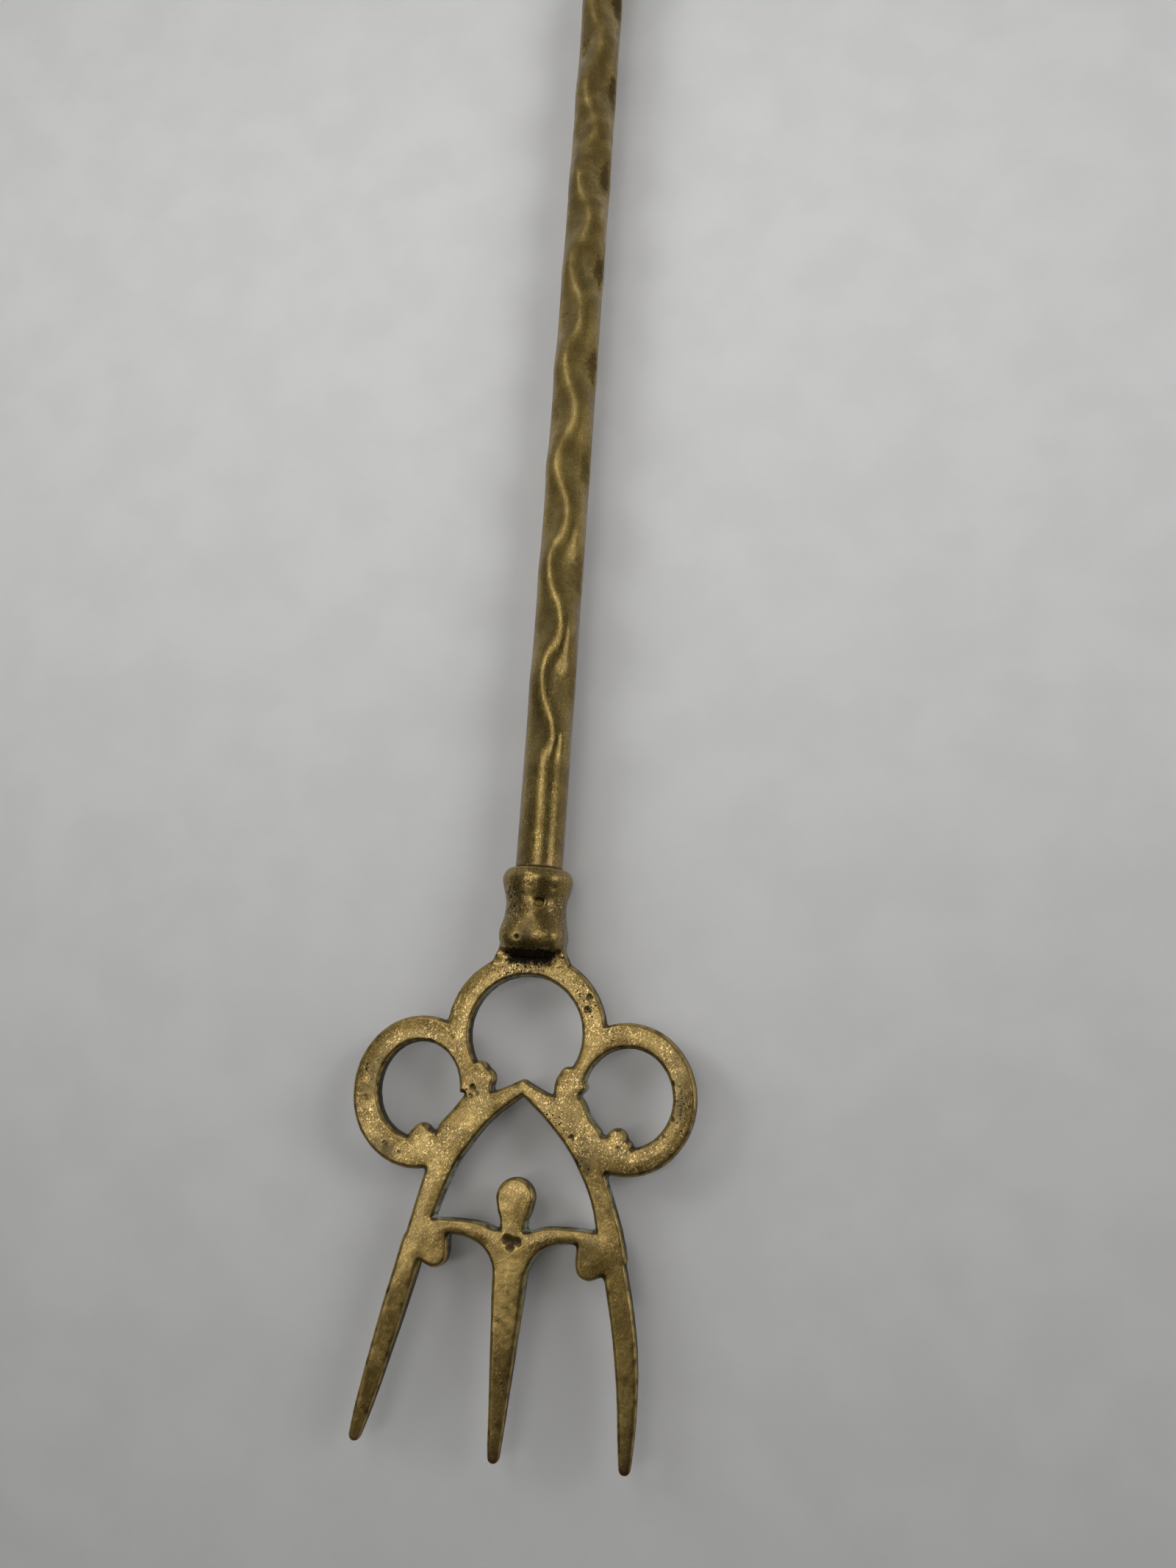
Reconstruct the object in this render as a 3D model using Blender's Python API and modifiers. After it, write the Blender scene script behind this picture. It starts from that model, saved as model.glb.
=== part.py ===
"""Brass toasting fork: a cast three-tined head, a pinched brass tube for a shaft and a cast hanging eye.

The fork lies on its back with the shaft along +Y, from the tines to the hanging eye, and the flat of the head
facing +Z. It rests on the lips of its two sockets, so the shaft's axis is one lip radius above z = 0.
Lengths below are millimetres and are turned into metres where a mesh is made.
"""

import math

import bmesh
import bpy
from mathutils import Vector
from mathutils.geometry import delaunay_2d_cdt

MM = 0.001

# Fits
CLEARANCE = 0.3             # gap left between pieces that are soldered or driven together

# Shaft tube
SHAFT_SHOWING = 325.6       # from socket mouth to socket mouth
TUBE_RADIUS = 4.0
TUBE_WALL = 0.8
TUBE_PLAIN_END = 17.4       # round stretch that shows beyond each socket
PINCH_PITCH = 20.4          # one pinch on each diagonal, about: a whole number of them fills the shaft
PINCH_DEPTH = 0.9           # how far a pinch presses the wall in, and the wall beside it out
PINCH_FADE = 6.0            # length over which the pinches start and stop
PINCH_TURN = 3.0            # degrees the ridge between the pinches stands to the right of straight up
TUBE_SIDES = 16
RINGS_PER_PITCH = 6

# Socket, the same on the head and on the eye
SOCKET_DEPTH = 11.0
SOCKET_FLOOR = 3.6          # metal below the bore
LIP_WALL = 1.7              # metal outside the bore at the lip, waist and foot
WAIST_WALL = 0.75
FOOT_WALL = 1.25
LIP_DROP = 1.5              # how far below the mouth the lip is widest
WAIST_DROP = 6.2
FOOT_BELOW_BORE = 0.2       # how far below the bore's floor the foot is widest
SOCKET_SIDES = 32
SOCKET_STEPS = 3            # rings between two points of the socket's profile

# Cross pins
PIN_RADIUS = 0.45
PIN_ABOVE_FLOOR = 5.1       # from the bore's floor up to a pin's axis
PIN_LEAN = 16.0             # degrees a pin leans to the right of straight up
PIN_RECESS = 0.15           # how far each end sits under the waist's surface

# Head plate and its edges
PLATE_THICKNESS = 3.6
EDGE_ROUND = 0.35           # how far in from the outline an edge is rounded
EDGE_DEPTH = 1.0            # how far down the wall the rounding reaches, as the draft of the mould
EDGE_STEPS = 2
RING_LAP = 0.6              # how far a ring runs into the socket above it
OUTLINE_STEP = 2.5          # longest straight piece of a finished outline
OUTLINE_SAG = 0.04          # how far a straight piece may stand off the curve

# Rings
CROWN_RADIUS = 13.0
CROWN_BAND = 3.7
CROWN_GAP = 10.0            # width of its open foot
NECK_WIDTH = 10.8
NECK_FLARE = 13.4           # width where the neck runs into the crown ring
NECK_FILLET = 1.4           # how far above the socket's end the neck starts to widen
RING_DRAFT = 0.3            # how far the sloping walls stand out round the rings
RING_STEPS = 96

# The head's pattern. Points are x and level, counted up from the foot of the crown ring's outer circle.
# Side rings and their holes: x, level, half width, half height
LEFT_RING = (-17.0, 2.9, 10.8, 11.8)
LEFT_HOLE = (-17.0, 3.25, 6.8, 7.6)
RIGHT_RING = (17.0, 3.8, 10.9, 11.6)
RIGHT_HOLE = (17.2, 3.95, 7.2, 7.7)

# Cusps inside the rings, each a low swelling of two or three rounds, and notches beside them: radius, x, level
CROWN_CUSPS = ((1.7, -6.2, 5.6), (1.6, -7.2, 6.7), (1.5, 6.9, 5.8), (1.4, 7.4, 6.9))
LEFT_CUSPS = ((0.9, -9.4, 4.5), (1.2, -16.9, -4.2), (1.55, -15.9, -3.55), (1.0, -14.4, -3.9))
RIGHT_CUSPS = ((0.9, 9.8, 5.2), (1.2, 13.9, -3.2), (1.75, 15.85, -2.45), (1.0, 17.4, -3.4))
NOTCHES = ((0.55, -9.75, 2.6), (0.8, -10.4, 2.1), (0.6, 10.25, 3.75))
CUSP_STEPS = 24

# Pointed arch that carries the tines, from its point down. It and the figure stand a little right of the shaft.
FIGURE_X = 0.25
ARCH_LEFT = ((0.0, 5.9), (4.7, 3.7), (9.2, 2.9), (11.1, 0.7), (13.6, -2.6), (14.8, -8.3), (16.2, -14.2),
             (17.6, -20.5))
ARCH_RIGHT = ((0.0, 5.9), (4.7, 3.7), (9.35, 3.65), (11.3, 0.6), (13.3, -2.0), (14.4, -8.4), (15.8, -12.3),
              (17.4, -16.8), (18.2, -20.5))
WINDOW_LEFT = ((0.0, 3.1), (4.6, -0.7), (8.3, -5.6), (10.2, -8.9), (12.4, -15.0), (13.8, -20.5))
WINDOW_RIGHT = ((0.0, 3.1), (4.5, -0.8), (8.2, -5.0), (10.4, -8.7), (12.1, -12.5), (13.1, -16.6), (13.9, -20.5))

# Figure with spread arms, right half
HEAD_RADIUS = 3.15
HEAD_LEVEL = -12.4
NECKLINE = ((2.75, -14.4), (2.2, -15.8), (2.1, -17.6))
ARM_TOP = ((2.8, -17.1), (5.0, -16.4), (8.0, -16.2), (12.9, -16.3), (15.5, -17.0))
SLEEVE = ((15.5, -23.0), (14.7, -22.8), (13.6, -23.3), (12.5, -23.7), (11.4, -23.5), (10.5, -22.8), (10.1, -21.4),
          (10.2, -18.6))
ARM_UNDER = ((10.2, -18.6), (8.6, -18.6), (7.0, -18.9), (5.0, -19.8), (3.7, -21.1), (2.9, -22.8), (2.2, -25.0))

# Tines: the outer two were bent by use, so each has its own tip and bow
TINE_ROOT = -19.5           # level at which the blades start inside the arch and the figure
TAPER_LEVEL = -24.0         # level from which they thin towards the tips
TINE_TIP_WIDTH = 1.9
TINE_TIP_THICKNESS = 2.0
LEFT_TINE_X = -15.7
LEFT_TINE_TIP = (-22.5, -48.6)
LEFT_TINE_WIDTH = 3.8
LEFT_TINE_BOW = 0.0
MIDDLE_TINE_TIP = (-0.6, -49.6)
MIDDLE_TINE_WIDTH = 6.1
RIGHT_TINE_X = 15.7
RIGHT_TINE_TIP = (19.3, -49.2)
RIGHT_TINE_WIDTH = 3.8
RIGHT_TINE_BOW = 1.2
BLADE_TAPER = 3.0           # power of the taper: a blade that keeps its width until near its tip
SPIKE_TAPER = 1.0           # an even taper
TINE_STEPS = 20

# Hanging eye
EYE_RADIUS = 11.0
EYE_BAND = 3.9

CURVE_STEPS = 8             # straight pieces between two points of a freehand curve

SOCKET_LENGTH = SOCKET_DEPTH + SOCKET_FLOOR
BORE_RADIUS = TUBE_RADIUS + CLEARANCE
AXIS_HEIGHT = BORE_RADIUS + LIP_WALL
PINCHED_LENGTH = SHAFT_SHOWING - 2 * TUBE_PLAIN_END
PINCH_COUNT = round(PINCHED_LENGTH / PINCH_PITCH)
FOOT_DROP = SOCKET_DEPTH + FOOT_BELOW_BORE
PIN_DROP = SOCKET_DEPTH - PIN_ABOVE_FLOOR
CROWN_Y = -(SOCKET_LENGTH - RING_LAP) - CROWN_RADIUS
CROWN_FOOT = CROWN_Y - CROWN_RADIUS
LOWEST_TIP = min(tip[1] for tip in (LEFT_TINE_TIP, MIDDLE_TINE_TIP, RIGHT_TINE_TIP))
HEAD_END = CROWN_FOOT + LOWEST_TIP - TINE_TIP_WIDTH / 2
EYE_Y = SHAFT_SHOWING + SOCKET_LENGTH - RING_LAP + EYE_RADIUS
EYE_END = EYE_Y + EYE_RADIUS


def empty_the_scene():
    for thing in list(bpy.data.objects):
        bpy.data.objects.remove(thing)


def new_collection(name):
    collection = bpy.data.collections.new(name)
    bpy.context.scene.collection.children.link(collection)
    return collection


def metal(name, colour, roughness):
    material = bpy.data.materials.new(name)
    material.use_nodes = True
    shader = material.node_tree.nodes["Principled BSDF"]
    shader.inputs["Base Color"].default_value = (*colour, 1.0)
    shader.inputs["Metallic"].default_value = 1.0
    shader.inputs["Roughness"].default_value = roughness
    return material


# Outlines: lists of (x, y) in millimetres, in the frame whose origin is the mouth of the head's socket


def ellipse(centre_x, centre_y, radius_x, radius_y, steps):
    angles = [2 * math.pi * step / steps for step in range(steps)]
    return [(centre_x + radius_x * math.cos(a), centre_y + radius_y * math.sin(a)) for a in angles]


def freehand(points, steps=CURVE_STEPS):
    """A smooth curve through the points, as short straight pieces."""
    padded = [points[0], *points, points[-1]]
    curve = []
    for before, start, end, after in zip(padded, padded[1:], padded[2:], padded[3:]):
        for step in range(steps):
            t = step / steps
            pull = (0.5 * (-t + 2 * t**2 - t**3), 0.5 * (2 - 5 * t**2 + 3 * t**3),
                    0.5 * (t + 4 * t**2 - 3 * t**3), 0.5 * (-t**2 + t**3))
            pulled = list(zip(pull, (before, start, end, after)))
            curve.append(tuple(sum(share * point[axis] for share, point in pulled) for axis in (0, 1)))
    return [*curve, points[-1]]


def over_foot(points):
    """Points given as x and level, put over the foot of the crown ring."""
    return [(FIGURE_X + x, CROWN_FOOT + level) for x, level in points]


def both_sides(right_half):
    """A closed outline from its right half, which starts and ends on the axis."""
    left_half = [(-x, y) for x, y in reversed(right_half) if x > 0]
    return [*right_half, *left_half]


def arch_outline():
    right = [*freehand(ARCH_RIGHT), *reversed(freehand(WINDOW_RIGHT))]
    left = [*freehand(ARCH_LEFT), *reversed(freehand(WINDOW_LEFT))]
    return over_foot([*right, *((-x, level) for x, level in reversed(left) if x > 0)])


def arms_outline():
    top = freehand(ARM_TOP)
    sleeve = freehand(SLEEVE)
    under = freehand(ARM_UNDER)
    ends = (0.0, ARM_TOP[0][1]), (0.0, ARM_UNDER[-1][1])
    return over_foot(both_sides([ends[0], *top, *sleeve, *under[1:], ends[1]]))


def figure_head_outline():
    quarter = [math.radians(15 * step) for step in range(7)]
    brow = [(HEAD_RADIUS * math.sin(a), HEAD_LEVEL + HEAD_RADIUS * math.cos(a)) for a in quarter]
    return over_foot(both_sides([*brow, *NECKLINE, (0.0, NECKLINE[-1][1])]))


def neck_outline():
    top = -SOCKET_DEPTH - CLEARANCE
    flare = CROWN_Y + math.sqrt(CROWN_RADIUS**2 - (NECK_FLARE / 2) ** 2)
    side = freehand(((NECK_WIDTH / 2, top), (NECK_WIDTH / 2, NECK_FILLET - SOCKET_LENGTH), (NECK_FLARE / 2, flare)))
    foot = CROWN_Y + CROWN_RADIUS - CROWN_BAND / 2
    return both_sides([(0.0, top), *side, (0.0, foot)])


def tine_outline(root_x, tip, root_width, bow, power):
    """A tapering, bowed blade from root to tip, with a round tip."""
    start, end = (Vector(point) for point in over_foot(((root_x, TINE_ROOT), tip)))
    along = (end - start).normalized()
    across = Vector((-along.y, along.x))
    outward = across if across.x * start.x >= 0 else -across
    left, right = [], []
    for step in range(TINE_STEPS + 1):
        t = step / TINE_STEPS
        centre = start.lerp(end, t) + outward * bow * math.sin(math.pi * t)
        half = (TINE_TIP_WIDTH + (root_width - TINE_TIP_WIDTH) * (1 - t**power)) / 2
        left.append(centre + across * half)
        right.append(centre - across * half)
    tip_angles = [math.radians(15 * step) for step in range(1, 12)]
    tip_half = TINE_TIP_WIDTH / 2
    round_tip = [end + across * tip_half * math.cos(a) + along * tip_half * math.sin(a) for a in tip_angles]
    return [tuple(point) for point in [*left, *round_tip, *reversed(right)]]


def counterclockwise(outline):
    area = sum(a[0] * b[1] - b[0] * a[1] for a, b in zip(outline, [*outline[1:], outline[0]]))
    return outline if area > 0 else outline[::-1]


def fused(shapes):
    """The outlines left when overlapping shapes are cut from one sheet. A shape is its outline, then its holes."""
    points, loops, members = [], [], []
    for shape in shapes:
        members.append(range(len(loops), len(loops) + len(shape)))
        for outline in shape:
            loops.append(range(len(points), len(points) + len(outline)))
            points.extend(Vector(point) for point in counterclockwise(outline))
    corners, _, triangles, _, _, inside = delaunay_2d_cdt(points, [], [list(loop) for loop in loops], 0, 1e-4)
    sides = set()
    for triangle, owners in zip(triangles, inside):
        covered = any(shape[0] in owners and not set(shape[1:]) & set(owners) for shape in members)
        if covered:
            sides.update(zip(triangle, [*triangle[1:], triangle[0]]))
    following = {a: b for a, b in sides if (b, a) not in sides}
    outlines = []
    while following:
        start, here = following.popitem()
        outline = [corners[start]]
        while here != start:
            outline.append(corners[here])
            here = following.pop(here)
        outlines.append(thinned(outline))
    return outlines


def thinned(outline):
    """The same outline with only the points that keep it within the sag and the longest step."""
    kept = [0]
    while kept[-1] < len(outline):
        start = kept[-1]
        end = start + 1
        while end < len(outline) and fits(outline, start, end + 1):
            end += 1
        kept.append(end)
    return [tuple(outline[at]) for at in kept[:-1]]


def fits(outline, start, end):
    a = outline[start]
    b = outline[end % len(outline)]
    chord = b - a
    if chord.length > OUTLINE_STEP:
        return False
    return all(abs(chord.cross(outline[at] - a)) <= OUTLINE_SAG * chord.length for at in range(start + 1, end))


# Solids


def place(thing, collection, parent):
    collection.objects.link(thing)
    thing.parent = parent
    return thing


def hide_as_tool(thing):
    thing.hide_render = True
    thing.display_type = "WIRE"


def frozen(thing, name):
    """A new object from a modelled one as its modifiers leave it, with its loose caps welded."""
    bpy.context.view_layer.update()
    evaluated = thing.evaluated_get(bpy.context.evaluated_depsgraph_get())
    mesh = bpy.data.meshes.new_from_object(evaluated)
    cleaner = bmesh.new()
    cleaner.from_mesh(mesh)
    bmesh.ops.remove_doubles(cleaner, verts=cleaner.verts, dist=0.001 * MM)
    cleaner.to_mesh(mesh)
    cleaner.free()
    stand = thing.matrix_world.copy()
    bpy.data.objects.remove(thing)
    solid = bpy.data.objects.new(name, mesh)
    solid.matrix_world = stand
    return solid


def plate(name, outlines, thickness=PLATE_THICKNESS):
    """A flat piece from its outline and any holes, lying in the XY plane. Its edges are round and slope down."""
    curve = bpy.data.curves.new(name, "CURVE")
    curve.dimensions = "2D"
    curve.fill_mode = "BOTH"
    curve.extrude = (thickness / 2 - EDGE_ROUND) * MM
    curve.bevel_depth = EDGE_ROUND * MM
    curve.bevel_resolution = EDGE_STEPS - 1
    curve.offset = -EDGE_ROUND * MM
    for outline in outlines:
        spline = curve.splines.new("POLY")
        spline.points.add(len(outline) - 1)
        for point, (x, y) in zip(spline.points, outline):
            point.co = (x * MM, y * MM, 0.0, 1.0)
        spline.use_cyclic_u = True
    drawn = bpy.data.objects.new(name, curve)
    bpy.context.scene.collection.objects.link(drawn)
    flat = frozen(drawn, name)
    level, deep = (thickness / 2 - EDGE_ROUND) * MM, (thickness / 2 - EDGE_DEPTH) * MM
    for vertex in flat.data.vertices:
        height = abs(vertex.co.z)
        above = max(0.0, height - level) * EDGE_DEPTH / EDGE_ROUND
        vertex.co.z = math.copysign(min(height, level) * deep / level + above, vertex.co.z)
    return flat


def turned(name, profile, sides):
    """A solid turned about Y from a profile of (radius, y), run down its outer side."""
    mesh = bpy.data.meshes.new(name)
    points = [(radius * MM, 0.0, y * MM) for radius, y in profile]
    mesh.from_pydata(points, [(i, i + 1) for i in range(len(points) - 1)], [])
    solid = bpy.data.objects.new(name, mesh)
    solid.rotation_euler = (-math.pi / 2, 0.0, 0.0)
    screw = solid.modifiers.new("turning", "SCREW")
    screw.steps = sides
    screw.render_steps = sides
    screw.use_merge_vertices = True
    screw.merge_threshold = 0.001 * MM
    return solid


def socket_profile():
    """From the bore's floor up the bore, over the lip and down the outside to the foot."""
    lip, waist, foot = (BORE_RADIUS + wall for wall in (LIP_WALL, WAIST_WALL, FOOT_WALL))
    outside = freehand((
        (BORE_RADIUS + 0.5 * LIP_WALL, 0.0),
        (lip, -LIP_DROP),
        (0.5 * (lip + waist), -0.5 * (LIP_DROP + WAIST_DROP)),
        (waist, -WAIST_DROP),
        (foot, -FOOT_DROP),
        (0.9 * foot, -0.4 * FOOT_DROP - 0.6 * SOCKET_LENGTH),
        (0.65 * foot, -SOCKET_LENGTH),
    ), SOCKET_STEPS)
    bore = [(0.0, -SOCKET_DEPTH), (BORE_RADIUS, -SOCKET_DEPTH), (BORE_RADIUS, 0.0)]
    return [*bore, *outside, (0.0, -SOCKET_LENGTH)]


def pin_hole(name, y, parent, tools):
    cutter = turned(name, ((0.0, 2 * AXIS_HEIGHT), (PIN_RADIUS + CLEARANCE, 2 * AXIS_HEIGHT),
                           (PIN_RADIUS + CLEARANCE, -2 * AXIS_HEIGHT), (0.0, -2 * AXIS_HEIGHT)), SOCKET_SIDES // 2)
    cutter.rotation_euler = (0.0, math.radians(PIN_LEAN), 0.0)
    cutter.location = (0.0, y * MM, 0.0)
    hide_as_tool(cutter)
    return place(cutter, tools, parent)


def cast_with(solid, flat):
    """Fuses a flat piece into the solid, as both come from one mould."""
    hide_as_tool(flat)
    cast = solid.modifiers.new("cast in one", "BOOLEAN")
    cast.operation = "UNION"
    cast.solver = "EXACT"
    cast.object = flat


def drill(solid, cutter):
    hole = solid.modifiers.new("pin hole", "BOOLEAN")
    hole.operation = "DIFFERENCE"
    hole.solver = "EXACT"
    hole.object = cutter


def finish(solid, material):
    solid.data.materials.append(material)
    solid.data.shade_smooth()
    solid.data.set_sharp_from_angle(angle=math.radians(40))


def ring(centre_x, centre_y, radius, band):
    return [ellipse(centre_x, centre_y, radius, radius, RING_STEPS),
            ellipse(centre_x, centre_y, radius - band, radius - band, RING_STEPS)]


def side_oval(x, level, half_width, half_height, more=0.0):
    return ellipse(x, CROWN_FOOT + level, half_width + more, half_height + more, RING_STEPS)


def spot(radius, x, level):
    return ellipse(x, CROWN_FOOT + level, radius, radius, CUSP_STEPS)


def crown_gap_outline():
    """The opening at the foot of the crown ring, where the point of the arch stands."""
    half = CROWN_GAP / 2
    foot = CROWN_FOOT - RING_LAP
    left, right = FIGURE_X - half, FIGURE_X + half
    return [(left, foot), (right, foot), (right, CROWN_Y), (left, CROWN_Y)]


def thin_the_tines(flat):
    """Brings the front and back faces together towards the tips."""
    for vertex in flat.data.vertices:
        along = (CROWN_FOOT + TAPER_LEVEL - vertex.co.y / MM) / (TAPER_LEVEL - LOWEST_TIP)
        thinning = max(0.0, along) * (1 - TINE_TIP_THICKNESS / PLATE_THICKNESS)
        vertex.co.z *= 1 - min(thinning, 1 - TINE_TIP_THICKNESS / PLATE_THICKNESS)


def make_head(parts, tools, fork, material):
    crown, crown_hole = ring(0.0, CROWN_Y, CROWN_RADIUS + RING_DRAFT, CROWN_BAND + RING_DRAFT)
    rings = crown, side_oval(*LEFT_RING, RING_DRAFT), side_oval(*RIGHT_RING, RING_DRAFT)
    holes = [crown_hole, crown_gap_outline(), side_oval(*LEFT_HOLE), side_oval(*RIGHT_HOLE)]
    holes += [spot(*notch) for notch in NOTCHES]
    shapes = [[outline, *holes] for outline in rings]
    for outline in (neck_outline(), arch_outline(), arms_outline(), figure_head_outline()):
        shapes.append([outline])
    for cusp in (*CROWN_CUSPS, *LEFT_CUSPS, *RIGHT_CUSPS):
        shapes.append([spot(*cusp)])
    shapes.append([tine_outline(LEFT_TINE_X, LEFT_TINE_TIP, LEFT_TINE_WIDTH, LEFT_TINE_BOW, BLADE_TAPER)])
    shapes.append([tine_outline(0.0, MIDDLE_TINE_TIP, MIDDLE_TINE_WIDTH, 0.0, SPIKE_TAPER)])
    shapes.append([tine_outline(RIGHT_TINE_X, RIGHT_TINE_TIP, RIGHT_TINE_WIDTH, RIGHT_TINE_BOW, BLADE_TAPER)])
    flat = place(plate("head plate", fused(shapes)), tools, fork)
    thin_the_tines(flat)
    head = place(turned("fork_head", socket_profile(), SOCKET_SIDES), parts, fork)
    cast_with(head, flat)
    drill(head, pin_hole("head pin hole", -PIN_DROP, fork, tools))
    finish(head, material)


def make_eye(parts, tools, fork, material):
    shapes = [ring(0.0, EYE_Y, EYE_RADIUS, EYE_BAND)]
    flat = place(plate("eye plate", fused(shapes)), tools, fork)
    eye = place(turned("hanging_eye", socket_profile(), SOCKET_SIDES), parts, fork)
    eye.rotation_euler = (math.pi / 2, 0.0, 0.0)
    eye.location = (0.0, SHAFT_SHOWING * MM, 0.0)
    cast_with(eye, flat)
    drill(eye, pin_hole("eye pin hole", SHAFT_SHOWING + PIN_DROP, fork, tools))
    finish(eye, material)


def pinch_depth(angle, y):
    """How far the wall is pressed in: from the front and the back, left and right of a ridge by turns."""
    into = y - TUBE_PLAIN_END
    fade = max(0.0, min(1.0, into / PINCH_FADE, (PINCHED_LENGTH - into) / PINCH_FADE))
    from_ridge = angle - math.radians(PINCH_TURN)
    lean = -math.sin(2 * from_ridge) * abs(math.cos(from_ridge))
    wave = lean * math.sin(2 * math.pi * PINCH_COUNT * into / PINCHED_LENGTH)
    return PINCH_DEPTH * fade * fade * (3 - 2 * fade) * wave


def make_tube(parts, tools, fork, material):
    seat = SOCKET_DEPTH - CLEARANCE
    rings = PINCH_COUNT * RINGS_PER_PITCH
    pinched = [TUBE_PLAIN_END + PINCHED_LENGTH * step / rings for step in range(rings + 1)]
    stations = [-seat, 0.0, *pinched, SHAFT_SHOWING, SHAFT_SHOWING + seat]
    straight = turned("straight tube", [(TUBE_RADIUS, y) for y in reversed(stations)], TUBE_SIDES)
    bpy.context.scene.collection.objects.link(straight)
    tube = place(frozen(straight, "shaft_tube"), parts, fork)
    for vertex in tube.data.vertices:
        x, back, y = vertex.co
        angle = math.atan2(x, -back)
        radius = TUBE_RADIUS * MM - pinch_depth(angle, y / MM) * MM
        vertex.co = (radius * math.sin(angle), -radius * math.cos(angle), y)
    wall = tube.modifiers.new("tube wall", "SOLIDIFY")
    wall.thickness = TUBE_WALL * MM
    wall.offset = -1.0
    for name, y in (("tube head hole", -PIN_DROP), ("tube eye hole", SHAFT_SHOWING + PIN_DROP)):
        drill(tube, pin_hole(name, y, fork, tools))
    finish(tube, material)


def make_pins(parts, fork, material):
    half = BORE_RADIUS + WAIST_WALL - PIN_RECESS
    for name, y in (("head_pin", -PIN_DROP), ("eye_pin", SHAFT_SHOWING + PIN_DROP)):
        pin = turned(name, ((0.0, half), (PIN_RADIUS, half), (PIN_RADIUS, -half), (0.0, -half)), SOCKET_SIDES // 2)
        pin.rotation_euler = (0.0, math.radians(PIN_LEAN), 0.0)
        pin.location = (0.0, y * MM, 0.0)
        finish(place(pin, parts, fork), material)


def main():
    empty_the_scene()
    parts = new_collection("toasting fork")
    tools = new_collection("cutters")
    cast_brass = metal("cast brass", (0.42, 0.30, 0.11), 0.42)
    drawn_brass = metal("drawn brass", (0.36, 0.27, 0.10), 0.36)
    pin_brass = metal("pin brass", (0.20, 0.12, 0.06), 0.55)
    fork = bpy.data.objects.new("fork", None)
    bpy.context.scene.collection.objects.link(fork)
    fork.location = (0.0, -(HEAD_END + EYE_END) / 2 * MM, AXIS_HEIGHT * MM)
    bpy.context.view_layer.update()
    make_head(parts, tools, fork, cast_brass)
    make_tube(parts, tools, fork, drawn_brass)
    make_eye(parts, tools, fork, cast_brass)
    make_pins(parts, fork, pin_brass)


main()
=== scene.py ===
# %% [markdown]
# # A brass toasting fork, finished for the camera
# The fork is five pieces of brass: a cast three-tined head, a pinched tube for a shaft, a cast hanging eye,
# and two small cross pins that hold the tube in its sockets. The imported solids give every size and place.
# This script loads them as a fixed frame and puts a finished surface on each piece, without changing the
# fork's overall size.

# %% The frame
import math

import bmesh
import bpy
import numpy as np
from mathutils import Matrix, Vector, kdtree, noise


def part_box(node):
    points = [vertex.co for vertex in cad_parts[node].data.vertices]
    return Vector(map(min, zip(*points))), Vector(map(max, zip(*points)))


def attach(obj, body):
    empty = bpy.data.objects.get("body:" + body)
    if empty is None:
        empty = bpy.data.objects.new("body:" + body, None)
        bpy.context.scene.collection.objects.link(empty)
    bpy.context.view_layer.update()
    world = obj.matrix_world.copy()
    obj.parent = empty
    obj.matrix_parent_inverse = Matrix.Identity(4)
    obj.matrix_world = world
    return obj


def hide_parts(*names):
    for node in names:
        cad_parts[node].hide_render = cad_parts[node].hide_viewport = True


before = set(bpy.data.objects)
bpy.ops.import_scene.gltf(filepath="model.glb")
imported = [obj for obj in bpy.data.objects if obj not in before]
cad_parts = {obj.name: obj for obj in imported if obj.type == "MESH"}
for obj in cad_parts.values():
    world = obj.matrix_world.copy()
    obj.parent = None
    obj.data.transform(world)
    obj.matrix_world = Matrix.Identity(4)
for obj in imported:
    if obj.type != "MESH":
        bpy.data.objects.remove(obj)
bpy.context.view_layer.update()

MM = 0.001

# %% [markdown]
# ## Where things are
# On the real fork every measure runs from the mouth of the head's socket, where the tube goes in. The imported
# boxes give that point, so a place on the fork can be written in millimetres along it (y), across it (x) and
# above the tube's axis (z). Reading it from the frame is safer than typing a number, because the frame may
# change. The pinches make the tube wider than its stock in places, so its radius is read where it is
# plain, in a thin slice at its end.

# %% The fork's own origin
END_SLICE = 0.1
head_low, head_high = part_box("fork_head")
eye_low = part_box("hanging_eye")[0]
tube_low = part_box("shaft_tube")[0]
MOUTH = Vector((0.0, head_high.y, (head_low.z + head_high.z) / 2))
SHAFT_SHOWING = (eye_low.y - head_high.y) / MM
TUBE_SEAT = (head_high.y - tube_low.y) / MM
tube_points = [vertex.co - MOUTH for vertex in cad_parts["shaft_tube"].data.vertices]
tube_end = [point for point in tube_points if point.y < END_SLICE * MM - TUBE_SEAT * MM]
TUBE_RADIUS = max(math.hypot(point.x, point.z) for point in tube_end) / MM
pin_points = np.array([vertex.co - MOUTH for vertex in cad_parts["head_pin"].data.vertices]) / MM
pin_middle = (pin_points.min(0) + pin_points.max(0)) / 2
pin_axis = np.linalg.svd(pin_points - pin_middle)[2][0]
PIN_LEAN = math.atan(pin_axis[0] / pin_axis[2])
PIN_HALF = float(np.abs((pin_points - pin_middle) @ pin_axis).max())
PIN_DROP = -float(pin_middle[1])
print("mouth at", [round(v / MM, 3) for v in MOUTH], "shaft showing", round(SHAFT_SHOWING, 2))
print("tube radius", round(TUBE_RADIUS, 3), "seat", round(TUBE_SEAT, 2))
print("pin", round(PIN_DROP, 2), "below the mouth, half length", round(PIN_HALF, 2), "leaning",
      round(math.degrees(PIN_LEAN), 1))

# %% [markdown]
# ## Small helpers
# Colours are picked as sRGB hex values, as seen on a screen, but Blender's shaders count in linear light, so
# one function turns the first into the second. One more adds a node with its settings and its links. A third
# freezes modifiers into a plain mesh, so that nothing live is left on a finished piece.

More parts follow.
